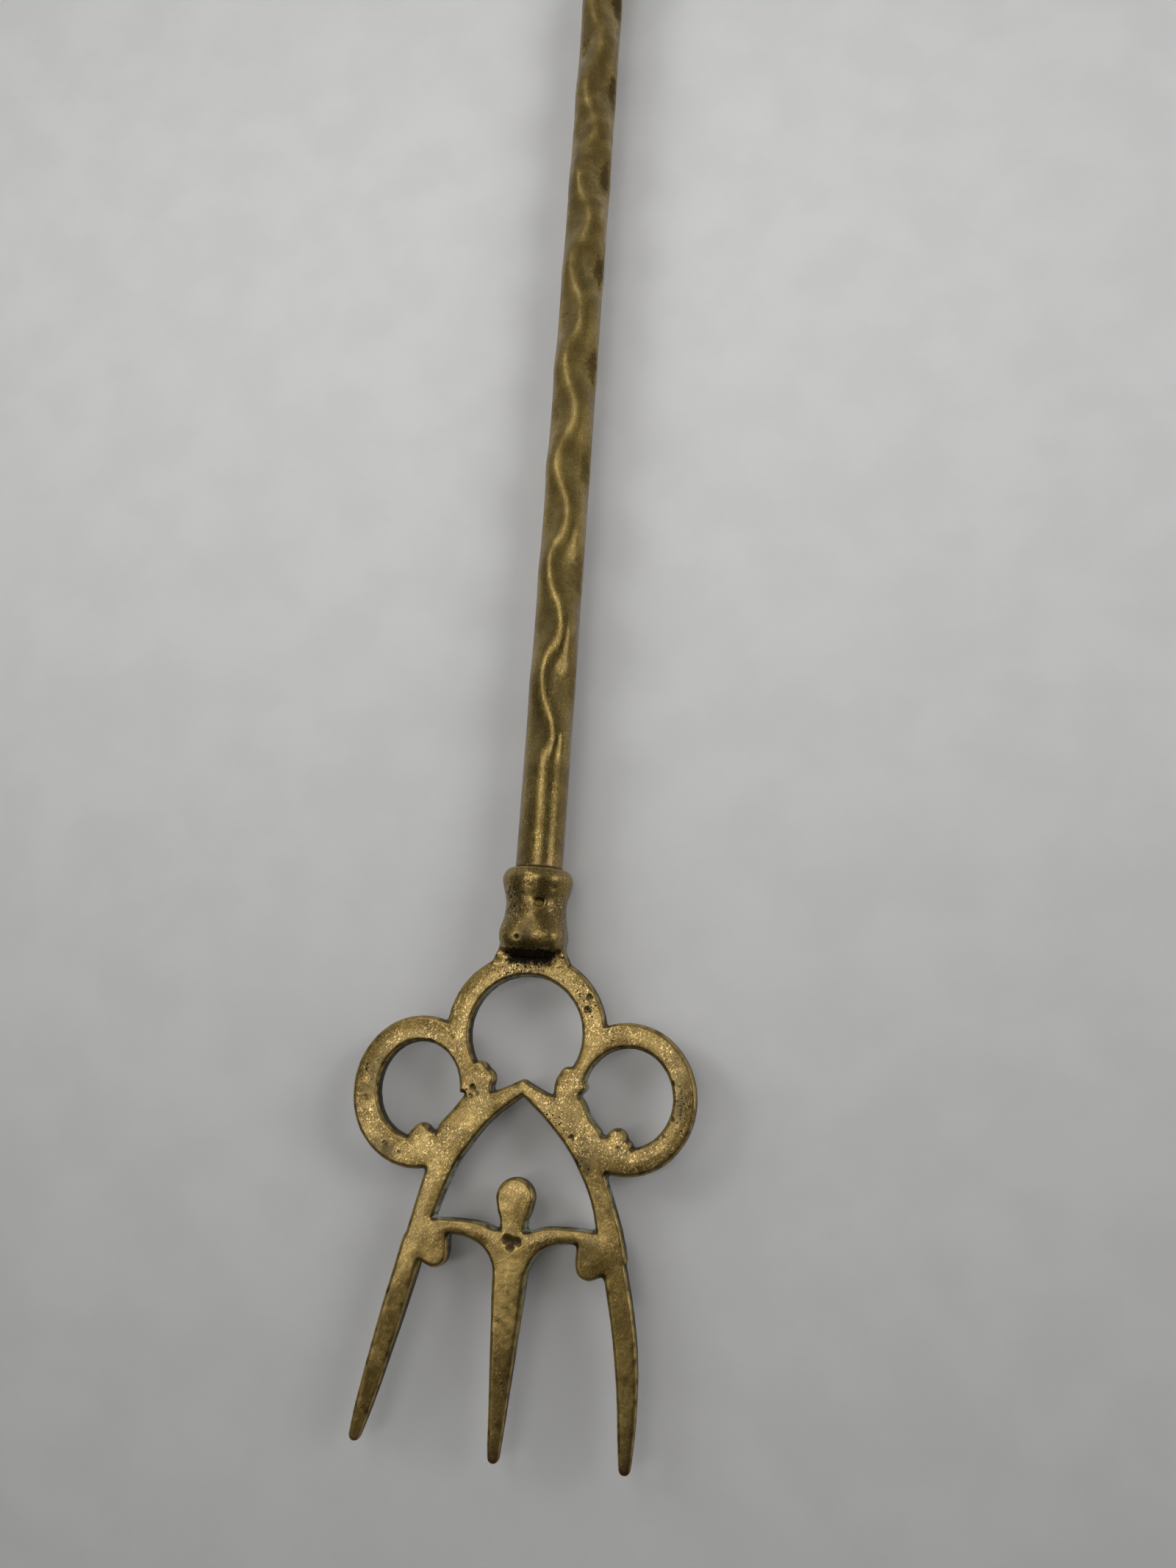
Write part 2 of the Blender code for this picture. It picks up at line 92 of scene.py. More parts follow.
# %% Helpers
MATH, MIX, RANGE = "ShaderNodeMath", "ShaderNodeMix", "ShaderNodeMapRange"
SPLIT, JOIN = "ShaderNodeSeparateXYZ", "ShaderNodeCombineXYZ"
NOISE, CELLS, ATTRIBUTE = "ShaderNodeTexNoise", "ShaderNodeTexVoronoi", "ShaderNodeAttribute"
MARK, MERGE = "GeometryNodeStoreNamedAttribute", "GeometryNodeMergeByDistance"
PLUS, MINUS = {"operation": "ADD"}, {"operation": "SUBTRACT"}
TIMES, OVER = {"operation": "MULTIPLY"}, {"operation": "DIVIDE"}
SMALLER, LARGER = {"operation": "MINIMUM"}, {"operation": "MAXIMUM"}
SINE, COSINE, ABSOLUTE = {"operation": "SINE"}, {"operation": "COSINE"}, {"operation": "ABSOLUTE"}
POWER, ROOT = {"operation": "POWER"}, {"operation": "SQRT"}
COLOURS, SMOOTH = {"data_type": "RGBA"}, {"interpolation_type": "SMOOTHSTEP"}
TINT = {"data_type": "RGBA", "blend_type": "MULTIPLY"}
NOISE_MEAN = 0.5


def linear(hex_colour):
    """An sRGB hex value as a colour in linear light."""
    parts = [int(hex_colour[i:i + 2], 16) / 255 for i in (1, 3, 5)]
    return (*(p / 12.92 if p <= 0.04045 else ((p + 0.055) / 1.055) ** 2.4 for p in parts), 1.0)


def add(tree, kind, settings=None, *values, **named):
    """Adds a node and gives its first output.

    Values fill its inputs in order, or by name with _ for a space.
    """
    node = tree.nodes.new(kind)
    for name, value in (settings or {}).items():
        setattr(node, name, value)
    pairs = list(zip([socket for socket in node.inputs if socket.enabled], values))
    pairs += [(node.inputs[name.replace("_", " ")], value) for name, value in named.items()]
    for socket, value in pairs:
        if isinstance(value, bpy.types.NodeSocket):
            tree.links.new(value, socket)
        else:
            socket.default_value = value
    return next((socket for socket in node.outputs if socket.enabled), None)


def freeze(piece):
    """Swaps the piece's mesh for the one that its modifiers make."""
    bpy.context.view_layer.update()
    evaluated = piece.evaluated_get(bpy.context.evaluated_depsgraph_get())
    mesh = bpy.data.meshes.new_from_object(evaluated)
    piece.modifiers.clear()
    piece.data = mesh
    return piece


def triangles(piece):
    return sum(len(face.vertices) - 2 for face in piece.data.polygons)


# %% [markdown]
# ## The castings, as they come from the sand
# The head and the eye were poured in a sand mould and then filed flat on both faces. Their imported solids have
# the right outline with crisp, straight facets. A fine voxel remesh turns each copy into an even skin of
# small quads, like a lump of metal with no history, and a little smoothing takes the facets out of the
# curves.

# %% Even skins for the head and the eye
WELD = 0.001 * MM
SKIN_GRAIN = 0.26 * MM
SKIN_PASSES = 4
SKIN_SOFTENING = 0.5


def recast(node, name):
    """An even, softened copy of an imported casting."""
    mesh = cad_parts[node].data.copy()
    welded = bmesh.new()
    welded.from_mesh(mesh)
    bmesh.ops.remove_doubles(welded, verts=welded.verts, dist=WELD)
    welded.to_mesh(mesh)
    welded.free()
    mesh.materials.clear()
    piece = bpy.data.objects.new(name, mesh)
    bpy.context.scene.collection.objects.link(piece)
    remesh = piece.modifiers.new("even skin", "REMESH")
    remesh.mode = "VOXEL"
    remesh.voxel_size = SKIN_GRAIN
    smooth = piece.modifiers.new("sand-cast curves", "SMOOTH")
    smooth.factor = SKIN_SOFTENING
    smooth.iterations = SKIN_PASSES
    freeze(piece)
    print(name, triangles(piece), "triangles")
    return piece


head = recast("fork_head", "cast_head")
eye = recast("hanging_eye", "cast_eye")

# %% [markdown]
# ## Reading and writing a skin
# The next steps push many thousands of points at once, so they work on whole arrays. A skin is read as points
# in the fork's own millimetres with their normals, and written back when a step has moved them. What a step
# finds out about the points, such as how much dirt and painted shade they hold, is stored as an attribute that
# a material can read.

# %% Points of a skin
SEED_STEP = (17.3, 9.1, 4.7)


def read_skin(piece):
    count = len(piece.data.vertices)
    points = np.zeros(count * 3)
    normals = np.zeros(count * 3)
    piece.data.vertices.foreach_get("co", points)
    piece.data.vertex_normals.foreach_get("vector", normals)
    return (points.reshape(-1, 3) - np.array(MOUTH)) / MM, normals.reshape(-1, 3)


def write_skin(piece, points):
    world = points * MM + np.array(MOUTH)
    piece.data.vertices.foreach_set("co", world.ravel())
    piece.data.update()


def store(piece, name, values):
    layer = piece.data.attributes.new(name, "FLOAT", "POINT")
    layer.data.foreach_set("value", np.clip(values, 0.0, 1.0).astype(np.float32))


def lumps(points, size, seed):
    """Smooth random heights from about -1 to 1 that change over a size in millimetres."""
    shift = Vector([seed * step for step in SEED_STEP])
    return np.array([noise.noise(Vector(point) / size + shift) for point in points])


def neighbours_mean(piece, values):
    """Each point's value averaged with those it shares an edge with."""
    edges = np.zeros(len(piece.data.edges) * 2, dtype=np.int64)
    piece.data.edges.foreach_get("vertices", edges)
    a, b = edges.reshape(-1, 2).T
    count = len(piece.data.vertices)
    total = np.bincount(a, values[b], count) + np.bincount(b, values[a], count)
    return (total + values) / (np.bincount(a, minlength=count) + np.bincount(b, minlength=count) + 1)


def standing_out(piece, points, normals, passes):
    """How far each point stands out of (+) or lies in (-) its smoothed surroundings, in millimetres."""
    mean = points.copy()
    for _ in range(passes):
        mean = np.stack([neighbours_mean(piece, mean[:, axis]) for axis in range(3)], axis=1)
    return ((points - mean) * normals).sum(1)


def ease(values, low, high):
    """Shares that rise smoothly from 0 at low to 1 at high."""
    share = np.clip((values - low) / (high - low), 0.0, 1.0)
    return share * share * (3 - 2 * share)


def spots(points, rows):
    """Soft round patches. Each row is x, y, reach and share at the middle."""
    result = np.zeros(len(points))
    for x, y, reach, share in rows:
        gap = np.hypot(points[:, 0] - x, points[:, 1] - y)
        result = np.maximum(result, share * np.exp(-(gap / reach) ** 2))
    return result


print("points:", len(head.data.vertices), "in the head,", len(eye.data.vertices), "in the eye")

# %% [markdown]
# ## Filed faces and worn edges
# The flat faces were filed and have been handled for years, so they swell a little between their edges, and
# the edges are rubbed round. Points on a face are lowered near the wall, by their distance to the nearest
# wall point, and the walls are lowered with them, so that the rim stays smooth. The tines are rubbed less and
# stay flatter. The socket's foot is a soft square in section with a low ridge round it, because it meets the
# flat plate: points there are moved out from the round. Slow, shallow lumps over all of it keep the
# highlights from being ruler straight.

# %% Shaping the castings
STEEP = 0.5  # the upright part of the normal, below which a point is on a wall
PLATE_HALF = 1.8
PLATE_START = 14.6
EDGE_DROP = 0.2
EDGE_REACH = 1.4
TINE_START = (58.0, 74.0)
TINE_DROP = 0.08
FOOT_START, FOOT_SQUARE, FOOT_END = 7.5, 11.5, 16.0
FOOT_RADII = (4.6, 6.5)
FOOT_POWER = 3.4
FOOT_CREST = 10.8
FOOT_RIDGE = 0.07
RIDGE_REACH = 0.9
LUMPS = ((0.06, 6.0), (0.025, 1.8), (0.008, 0.7))  # height and width, from slow to fine
FILED = 0.8  # the share of the finer lumps that the file left on the plate
TINY = 1e-6


def head_along(y):
    """The distance from the mouth of the head's socket into the casting."""
    return -y


def eye_along(y):
    """The same for the eye, whose socket faces the other way."""
    return y - SHAFT_SHOWING


def wear_edges(points, normals):
    wall = np.abs(normals[:, 2]) < STEEP
    tree = kdtree.KDTree(int(wall.sum()))
    for index in np.nonzero(wall)[0]:
        x, y, _ = points[index]
        tree.insert((x, y, 0.0), int(index))
    tree.balance()
    drops = EDGE_DROP + (TINE_DROP - EDGE_DROP) * ease(-points[:, 1], *TINE_START)
    points[wall, 2] *= 1 - drops[wall] / PLATE_HALF
    for index in np.nonzero(~wall)[0]:
        x, y, z = points[index]
        gap = tree.find((x, y, 0.0))[2]
        points[index, 2] = z - math.copysign(drops[index] * math.exp(-gap / EDGE_REACH), z)


def square_foot(points, along):
    """Makes the socket's foot a soft square. along is the distance from the mouth into the casting."""
    radius = np.maximum(np.hypot(points[:, 0], points[:, 2]), TINY)
    foot = (radius > FOOT_RADII[0]) * (radius < FOOT_RADII[1])
    share = ease(along, FOOT_START, FOOT_SQUARE) * foot * (along < FOOT_END)
    power = 2 + (FOOT_POWER - 2) * share
    sides = np.abs(points[:, [0, 2]]) / radius[:, None]
    swell = (sides[:, 0] ** power + sides[:, 1] ** power) ** (-1 / power)
    swell += FOOT_RIDGE * np.exp(-((along - FOOT_CREST) / RIDGE_REACH) ** 2) * foot / radius
    points[:, 0] *= swell
    points[:, 2] *= swell


def shape_casting(piece, along_of):
    points, normals = read_skin(piece)
    plate = along_of(points[:, 1]) > PLATE_START
    flat, flat_normals = points[plate], normals[plate]
    wear_edges(flat, flat_normals)
    points[plate] = flat
    square_foot(points, along_of(points[:, 1]))
    slow, fine, finest = (height * lumps(points, width, seed)
                          for seed, (height, width) in enumerate(LUMPS, 1))
    rise = slow + np.where(plate, FILED, 1.0) * (fine + finest)
    points += normals * rise[:, None]
    write_skin(piece, points)
    print(piece.name, "lumps up to", round(float(np.abs(rise).max()), 3), "mm")


shape_casting(head, head_along)
shape_casting(eye, eye_along)

# %% [markdown]
# ## Casting pits
# Gas bubbles and loose sand left pits in the skin, most of them on the socket and on the ring faces, and one
# heart-like hollow on the figure's chest. A pit is a small cup pressed into the skin around a point. The
# larger ones stand where they are on the fork, and a seeded scatter adds the many small ones. Cups that meet
# make one hollow.

# %% Pits
# x, y, radius and depth of a pit in the front face, in millimetres
CHEST_PITS = ((-0.45, -58.5, 0.8, 0.38), (1.05, -58.8, 0.65, 0.32), (0.1, -59.6, 0.65, 0.34),
              (0.3, -58.95, 0.7, 0.36))
FACE_PITS = (
    (10.4, -20.6, 0.55, 0.25), (9.9, -22.6, 0.6, 0.28), (-8.0, -35.9, 0.45, 0.25), (-8.2, -37.2, 0.3, 0.2),
    (4.9, -42.3, 0.4, 0.2), (8.6, -42.8, 0.4, 0.2), (23.9, -33.5, 0.35, 0.18), (24.4, -38.7, 0.4, 0.2),
    (-25.5, -38.5, 0.3, 0.16), (-21.8, -45.5, 0.4, 0.12), (-13.5, -24.9, 0.4, 0.2),
)
# x, y, z, radius and depth of a pit in the socket
SOCKET_PITS = ((-1.9, -11.8, 5.2, 0.42, 0.36), (3.2, -3.3, 3.9, 0.35, 0.2), (2.0, -5.5, 4.5, 0.35, 0.2))
# how many small pits a field has, its two (x, y) corners and its level
HEAD_FIELDS = ((36, (-27, -48), (27, -15), PLATE_HALF), (80, (-27, -60), (27, -15), -PLATE_HALF),
               (24, (-4.4, -9), (-1.5, -2.5), 3.8), (20, (-5, -11), (5, -2), -4.8))
EYE_PITS = 30
EYE_SOCKET, EYE_RING = 14, 22
EYE_FOOT = SHAFT_SHOWING + EYE_SOCKET
SMALL_RADII = (0.24, 0.36)
SMALL_DEPTH = 0.35  # as a share of the radius
PIT_SNAP = 1.0
DARK_PIT = 0.33
rng = np.random.default_rng(11)


def press_pits(piece, pits):
    """Presses cups into the skin, leaving out those that would lie in a hole of the casting."""
    points, normals = read_skin(piece)
    tree = kdtree.KDTree(len(points))
    for index, point in enumerate(points):
        tree.insert(point, index)
    tree.balance()
    depths = np.zeros(len(points))
    for x, y, z, radius, depth in pits:
        centre, _, off = tree.find((x, y, z))
        if off < PIT_SNAP:
            for _, index, gap in tree.find_range(centre, radius):
                depths[index] = max(depths[index], depth * (1 - (gap / radius) ** 2))
    write_skin(piece, points - normals * depths[:, None])
    store(piece, "pit", depths / DARK_PIT)
    print(piece.name, len(pits), "pits, deepest", round(float(depths.max()), 2), "mm")


def scattered(count, low, high, level):
    """Small pits at random places between two (x, y) corners, at one level."""
    xs = rng.uniform(low[0], high[0], count)
    ys = rng.uniform(low[1], high[1], count)
    radii = rng.uniform(*SMALL_RADII, count)
    return [(x, y, level, r, SMALL_DEPTH * r) for x, y, r in zip(xs, ys, radii)]


head_pits = [(x, y, PLATE_HALF, radius, depth) for x, y, radius, depth in CHEST_PITS + FACE_PITS]
head_pits += SOCKET_PITS
for field in HEAD_FIELDS:
    head_pits += scattered(*field)
press_pits(head, head_pits)
eye_pits = []
for level in (PLATE_HALF, -PLATE_HALF):
    eye_pits += scattered(EYE_PITS, (-EYE_RING / 2, EYE_FOOT), (EYE_RING / 2, EYE_FOOT + EYE_RING), level)
press_pits(eye, eye_pits)

# %% [markdown]
# ## Where the dirt, the rubbing and the painted highlights are
# The porous patches, the stains, the brown film on the tines, the spots that are painted brighter as painted
# highlights and the pale green crust in the inner corners are placed one by one, because dirt and light have
# their own reasons. Just right of the head pin's end the socket is clean and has no painted shade. The eye is
# out of the picture, so its two patches are guesses.

# %% Patches
# x and y of a patch, its reach in millimetres and its share
GREEN_SPOTS = (
    (-12.3, -55.6, 2.2, 1.0), (-3.2, -55.6, 1.8, 1.0), (3.2, -56.2, 1.6, 1.0), (11.9, -55.8, 1.8, 1.0),
    (10.6, -40.4, 2.2, 1.0), (12.5, -43.5, 2.4, 0.9), (16.2, -49.3, 2.0, 0.8), (-8.2, -43.0, 4.0, 0.6),
    (-11.5, -49.5, 4.0, 0.8), (5.2, -61.5, 2.4, 0.7), (4.4, -65.5, 2.5, 0.7), (10.0, -33.5, 3.0, 0.8),
    (-5.6, -37.2, 1.5, 0.9), (6.0, -37.4, 1.5, 0.9), (-10.0, -58.0, 1.5, 0.8), (7.0, -58.5, 1.6, 0.8),
    (0.0, -18.0, 3.0, 0.7), (-6.0, -20.0, 3.0, 0.5),
)
PORE_SPOTS = (
    (-3.6, -4.6, 2.8, 1.0), (-3.2, -7.4, 2.4, 0.8), (2.4, -3.2, 1.2, 0.6), (0.0, -15.2, 4.0, 0.9),
    (-4.0, -17.0, 2.5, 0.6), (9.8, -21.5, 3.4, 0.65), (25.0, -36.0, 5.0, 0.5), (5.6, -41.0, 2.4, 0.75),
    (-8.0, -36.4, 2.0, 0.6), (-24.0, -34.0, 6.0, 0.35), (10.2, -47.5, 3.0, 0.5), (14.0, -27.0, 3.0, 0.4),
)
FILM_SPOTS = (
    (0.8, -8.6, 2.2, 0.6), (0.0, -12.7, 3.0, 1.0), (24.6, -36.0, 4.5, 0.5), (-26.0, -34.0, 6.0, 0.35),
    (10.4, -47.2, 2.6, 0.9), (-21.6, -45.6, 1.6, 0.7), (13.6, -55.0, 5.0, 0.5), (9.8, -59.5, 3.0, 0.6),
)
STAIN_SPOTS = ((4.7, -4.5, 0.5, 0.8), (8.2, -58.9, 1.0, 1.0))
# painted highlights: spots painted brighter where the tines, the crown and the chest catch the light
PAINTED_HIGHLIGHT_SPOTS = (
    (0.4, -69.5, 4.5, 1.0), (0.2, -63.0, 3.0, 0.7), (0.3, -50.0, 2.5, 0.4), (8.0, -28.0, 4.0, 0.5),
    (-13.8, -63.5, 2.6, 0.8), (-0.2, -37.0, 2.0, 0.5), (17.4, -80.0, 7.0, 0.8),
)
CLEAN_SPOT = (math.sin(PIN_LEAN) * PIN_HALF + 0.6, -PIN_DROP, 1.0, 1.0)
EYE_GREEN_SPOTS = ((0.0, EYE_FOOT + 3.6, 2.0, 0.9),)
EYE_PORE_SPOTS = ((-3.0, EYE_FOOT - 8, 2.5, 0.7),)
# the share of the film on a tine, and where along the casting it comes in
LEFT_FILM = ((0.5, 66.3, 67.6), (0.25, 72.0, 86.0))
MIDDLE_FILM = ((0.35, 73.5, 84.0),)
RIGHT_FILM = ((0.3, 48.0, 52.0), (-0.25, 76.0, 81.0))
TINES_APART = 10


def tine_film(points, along):
    """The brown film of the fire: a sharp front on the left tine, slower ones on the others."""
    left, middle, right = (sum(share * ease(along, low, high) for share, low, high in rows)
                           for rows in (LEFT_FILM, MIDDLE_FILM, RIGHT_FILM))
    return np.where(points[:, 0] < -TINES_APART, left, np.where(points[:, 0] > TINES_APART, right, middle))


print("patches:", len(GREEN_SPOTS), "green,", len(PORE_SPOTS), "porous,", len(FILM_SPOTS), "brown,",
      len(PAINTED_HIGHLIGHT_SPOTS), "rubbed_and_highlit")

# %% [markdown]
# ## What the years left on the castings, with painted shade and painted highlights
# Hands polish whatever stands out, and dirt stays in whatever lies in. Both can be read from the shape
# itself: a point that stands out of its smoothed surroundings is an edge, and one that lies in is a corner or
# a pit. The corners and hollows are painted dark with dirt and painted shade, and so is a band in front of
# the socket's foot. The rounded rims get a dark line of painted shade, the walls get painted shade over their
# film, and a few listed spots are painted brighter as painted highlights. These shares and the patches are
# stored on the points, and the brass reads them as attributes.

# %% Wear, dirt, painted shade and painted highlights
NEAR_PASSES, BROAD_PASSES, RIM_PASSES = 8, 40, 4
# the start and the end of a change, in millimetres along the casting
PLATE_RANGE, TIP_RANGE = (13.4, 15.0), (87.2, 89.6)
FRONT_START, FRONT_END = (12.3, 14.0), (14.8, 17.6)
GREEN_START = 16.2
# in millimetres from its middle line
FRONT_SIDE = (2.8, 6.2)
# in the upright part of the normal
WALL_RANGE, RIM_RANGE, LEVEL_RANGE = (0.45, 0.8), (0.75, 0.97), (0.5, 0.8)
FRONT_TILT = 0.1
# in millimetres that a point stands out or lies in
EDGE_RANGE, HOLLOW_RANGE, CORNER_RANGE = (0.02, 0.1), (0.03, 0.1), (0.05, 0.3)
CORNER_DIRT_AND_SHADE, HOLLOW_DIRT_AND_SHADE, CORNER_GREEN = 0.9, 0.5, 0.3


def weather_and_painted_light(piece, along_of, greens, porous, films=(), stains=(), painted_highlights=()):
    points, normals = read_skin(piece)
    along = along_of(points[:, 1])
    out = standing_out(piece, points, normals, NEAR_PASSES)
    broad = standing_out(piece, points, normals, BROAD_PASSES)
    upright, top = np.abs(normals[:, 2]), points[:, 2] > 0
    plate = ease(along, *PLATE_RANGE)
    # walls: their own dark film, with painted shade over it
    wall = (1 - ease(upright, *WALL_RANGE)) * plate
    corner = ease(-broad, *CORNER_RANGE) * np.maximum(1 - plate, 1 - ease(upright, *LEVEL_RANGE))
    front = ease(along, *FRONT_START) * (1 - ease(along, *FRONT_END))
    front = front * (1 - ease(np.abs(points[:, 0]), *FRONT_SIDE)) * (upright > FRONT_TILT)
    # dirt and painted shade: corners, hollows and the step in front of the socket's foot are painted dark
    dirt_and_shade = np.maximum(CORNER_DIRT_AND_SHADE * corner + HOLLOW_DIRT_AND_SHADE * ease(-out, *HOLLOW_RANGE), front)
    dirt_and_shade = np.maximum(dirt_and_shade, spots(points, stains) * top)
    # painted shade: a dark line along the rounded rims, where the faces turn down to the walls
    rim = (1 - ease(upright, *RIM_RANGE)) * plate
    for _ in range(RIM_PASSES):
        rim = neighbours_mean(piece, rim)
    green = np.maximum(CORNER_GREEN * corner, spots(points, greens)) * np.maximum(wall, corner)
    # rubbed edges, and painted highlights at the listed spots
    store(piece, "edge", np.maximum(ease(out, *EDGE_RANGE), spots(points, painted_highlights) * top))
    store(piece, "dirt_and_shade", dirt_and_shade * (1 - spots(points, [CLEAN_SPOT])))
    store(piece, "wall", wall)
    store(piece, "rim", rim)
    store(piece, "green", green * (along > GREEN_START))
    store(piece, "pores", spots(points, porous) * top)
    store(piece, "film", np.maximum(tine_film(points, along), spots(points, films)))
    store(piece, "tip", ease(along, *TIP_RANGE))
    print(piece.name, "edge", round(float(out.max()), 3), "hollow", round(float(-out.min()), 3))


weather_and_painted_light(head, head_along, GREEN_SPOTS, PORE_SPOTS, FILM_SPOTS, STAIN_SPOTS, PAINTED_HIGHLIGHT_SPOTS)
weather_and_painted_light(eye, eye_along, EYE_GREEN_SPOTS, EYE_PORE_SPOTS)

# %% [markdown]
# ## The pinched tube
# The shaft is a drawn brass tube that is pressed in from the front and the back, to the left and to the right
# of a ridge by turns, so that the ridge snakes along it between shallow hollows. The whole piece follows that
# one rule, so it is grown by a node tree: a flat grid is wrapped round the axis, each point is pressed in or
# out by the rule, and the sheet gets its wall. Every size is a named input.

# %% A node tree for the tube
FLOAT, WHOLE, STUFF = "NodeSocketFloat", "NodeSocketInt", "NodeSocketMaterial"


def group(name, inputs):
    """An empty node group that gives out a mesh, with its input sockets and its output node."""
    tree = bpy.data.node_groups.new(name, "GeometryNodeTree")
    for kind, labels in inputs.items():
        for label in labels:
            tree.interface.new_socket(label, in_out="INPUT", socket_type=kind)
    tree.interface.new_socket("Mesh", in_out="OUTPUT", socket_type="NodeSocketGeometry")
    return tree, tree.nodes.new("NodeGroupInput").outputs, tree.nodes.new("NodeGroupOutput")


def grow(name, tree, values):
    """A plain mesh piece from a node tree, with the named inputs set."""
    piece = bpy.data.objects.new(name, bpy.data.meshes.new(name))
    bpy.context.scene.collection.objects.link(piece)
    modifier = piece.modifiers.new(name, "NODES")
    modifier.node_group = tree
    for item in tree.interface.items_tree:
        if item.in_out == "INPUT" and item.name in values:
            modifier[item.identifier] = values[item.name]
    return freeze(piece)


def dress(tree, mesh, stuff, output):
    """Ends a tree: smooth shading, real points and the material."""
    soft = add(tree, "GeometryNodeSetShadeSmooth", None, mesh)
    real = add(tree, "GeometryNodeRealizeInstances", None, soft)
    tree.links.new(add(tree, "GeometryNodeSetMaterial", None, real, Material=stuff), output.inputs[0])


tube_tree, given, tube_out = group("pinched tube", {
    FLOAT: ("Start", "Height", "Length", "Radius", "Wall", "Plain Start", "Pinched Length", "Pinches",
            "Depth", "Fade", "Turn", "Unevenness"),
    WHOLE: ("Sides", "Rings"), STUFF: ("Material",)})


def pinched_skin(t):
    """The outer skin: a grid of angle by length, pressed by the rule and wrapped round the axis."""
    sides = add(t, MATH, PLUS, given["Sides"], 1)
    grid = add(t, "GeometryNodeMeshGrid", None, 2 * math.pi, given["Length"], sides, given["Rings"])
    place = add(t, SPLIT, None, add(t, "GeometryNodeInputPosition")).node.outputs
    angle = place["X"]
    along = add(t, MATH, PLUS, place["Y"], add(t, MATH, TIMES, given["Length"], 0.5))
    into = add(t, MATH, MINUS, along, given["Plain Start"])
    rest = add(t, MATH, MINUS, given["Pinched Length"], into)
    fade = add(t, RANGE, SMOOTH, add(t, MATH, SMALLER, into, rest), 0.0, given["Fade"])
    turns = add(t, MATH, OVER, add(t, MATH, TIMES, into, given["Pinches"]), given["Pinched Length"])
    beat = add(t, MATH, SINE, add(t, MATH, TIMES, turns, 2 * math.pi))
    from_ridge = add(t, MATH, MINUS, angle, given["Turn"])
    facing = add(t, MATH, ABSOLUTE, add(t, MATH, COSINE, from_ridge))
    lean = add(t, MATH, SINE, add(t, MATH, TIMES, from_ridge, -2.0))
    wave = add(t, MATH, TIMES, add(t, MATH, TIMES, lean, beat), fade)
    around = add(t, JOIN, None, add(t, MATH, SINE, angle), turns, add(t, MATH, COSINE, angle))
    chance = add(t, NOISE, None, Vector=around, Scale=0.9, Detail=2.0)
    pinch = add(t, MATH, TIMES, wave, add(t, MATH, PLUS, chance, 1 - NOISE_MEAN))
    shake = add(t, MATH, TIMES, add(t, MATH, MINUS, chance, NOISE_MEAN), given["Unevenness"])
    press = add(t, MATH, TIMES, add(t, MATH, TIMES, pinch, facing), given["Depth"])
    pressed = add(t, MATH, MINUS, shake, press)
    radius = add(t, MATH, PLUS, given["Radius"], pressed)
    moved = add(t, JOIN, None, add(t, MATH, TIMES, radius, add(t, MATH, SINE, angle)),
                add(t, MATH, PLUS, along, given["Start"]),
                add(t, MATH, PLUS, add(t, MATH, TIMES, radius, add(t, MATH, COSINE, angle)), given["Height"]))
    marked = add(t, MARK, None, grid, Name="pinch", Value=add(t, MATH, LARGER, pinch, 0.0))
    bent = add(t, "GeometryNodeSetPosition", None, marked, Position=moved)
    return add(t, MERGE, None, bent, Distance=WELD)


skin = pinched_skin(tube_tree)
inward = add(tube_tree, "GeometryNodeExtrudeMesh", None, Mesh=skin, Individual=False,
             Offset_Scale=add(tube_tree, MATH, TIMES, given["Wall"], -1.0))
both = add(tube_tree, "GeometryNodeJoinGeometry")
for sheet in (skin, add(tube_tree, "GeometryNodeFlipFaces", None, inward)):
    tube_tree.links.new(sheet, both.node.inputs[0])
closed = add(tube_tree, MERGE, None, both, Distance=WELD)
dress(tube_tree, closed, given["Material"], tube_out)
print("tube tree:", len(tube_tree.nodes), "nodes")

# %% [markdown]
# ## Cross pins
# A short pin goes through each socket and the tube inside it, and its two ends were hammered over and filed,
# so they show as brown ovals in the waist of the socket, with painted shadow on the half towards the handle.
# Both pins follow one rule too: a rod with slightly domed, dented ends. The same tree grows them both, with
# another place and another seed.

# %% A node tree for the pins
PIN_DENTS = 1800.0  # to a metre
PIN_END = 9.0  # the higher, the closer to its ends a pin is dented
pin_tree, pin, pin_out = group("hammered pin", {
    FLOAT: ("Along", "Height", "Lean", "Radius", "Half", "Dome", "Seed"), STUFF: ("Material",)})


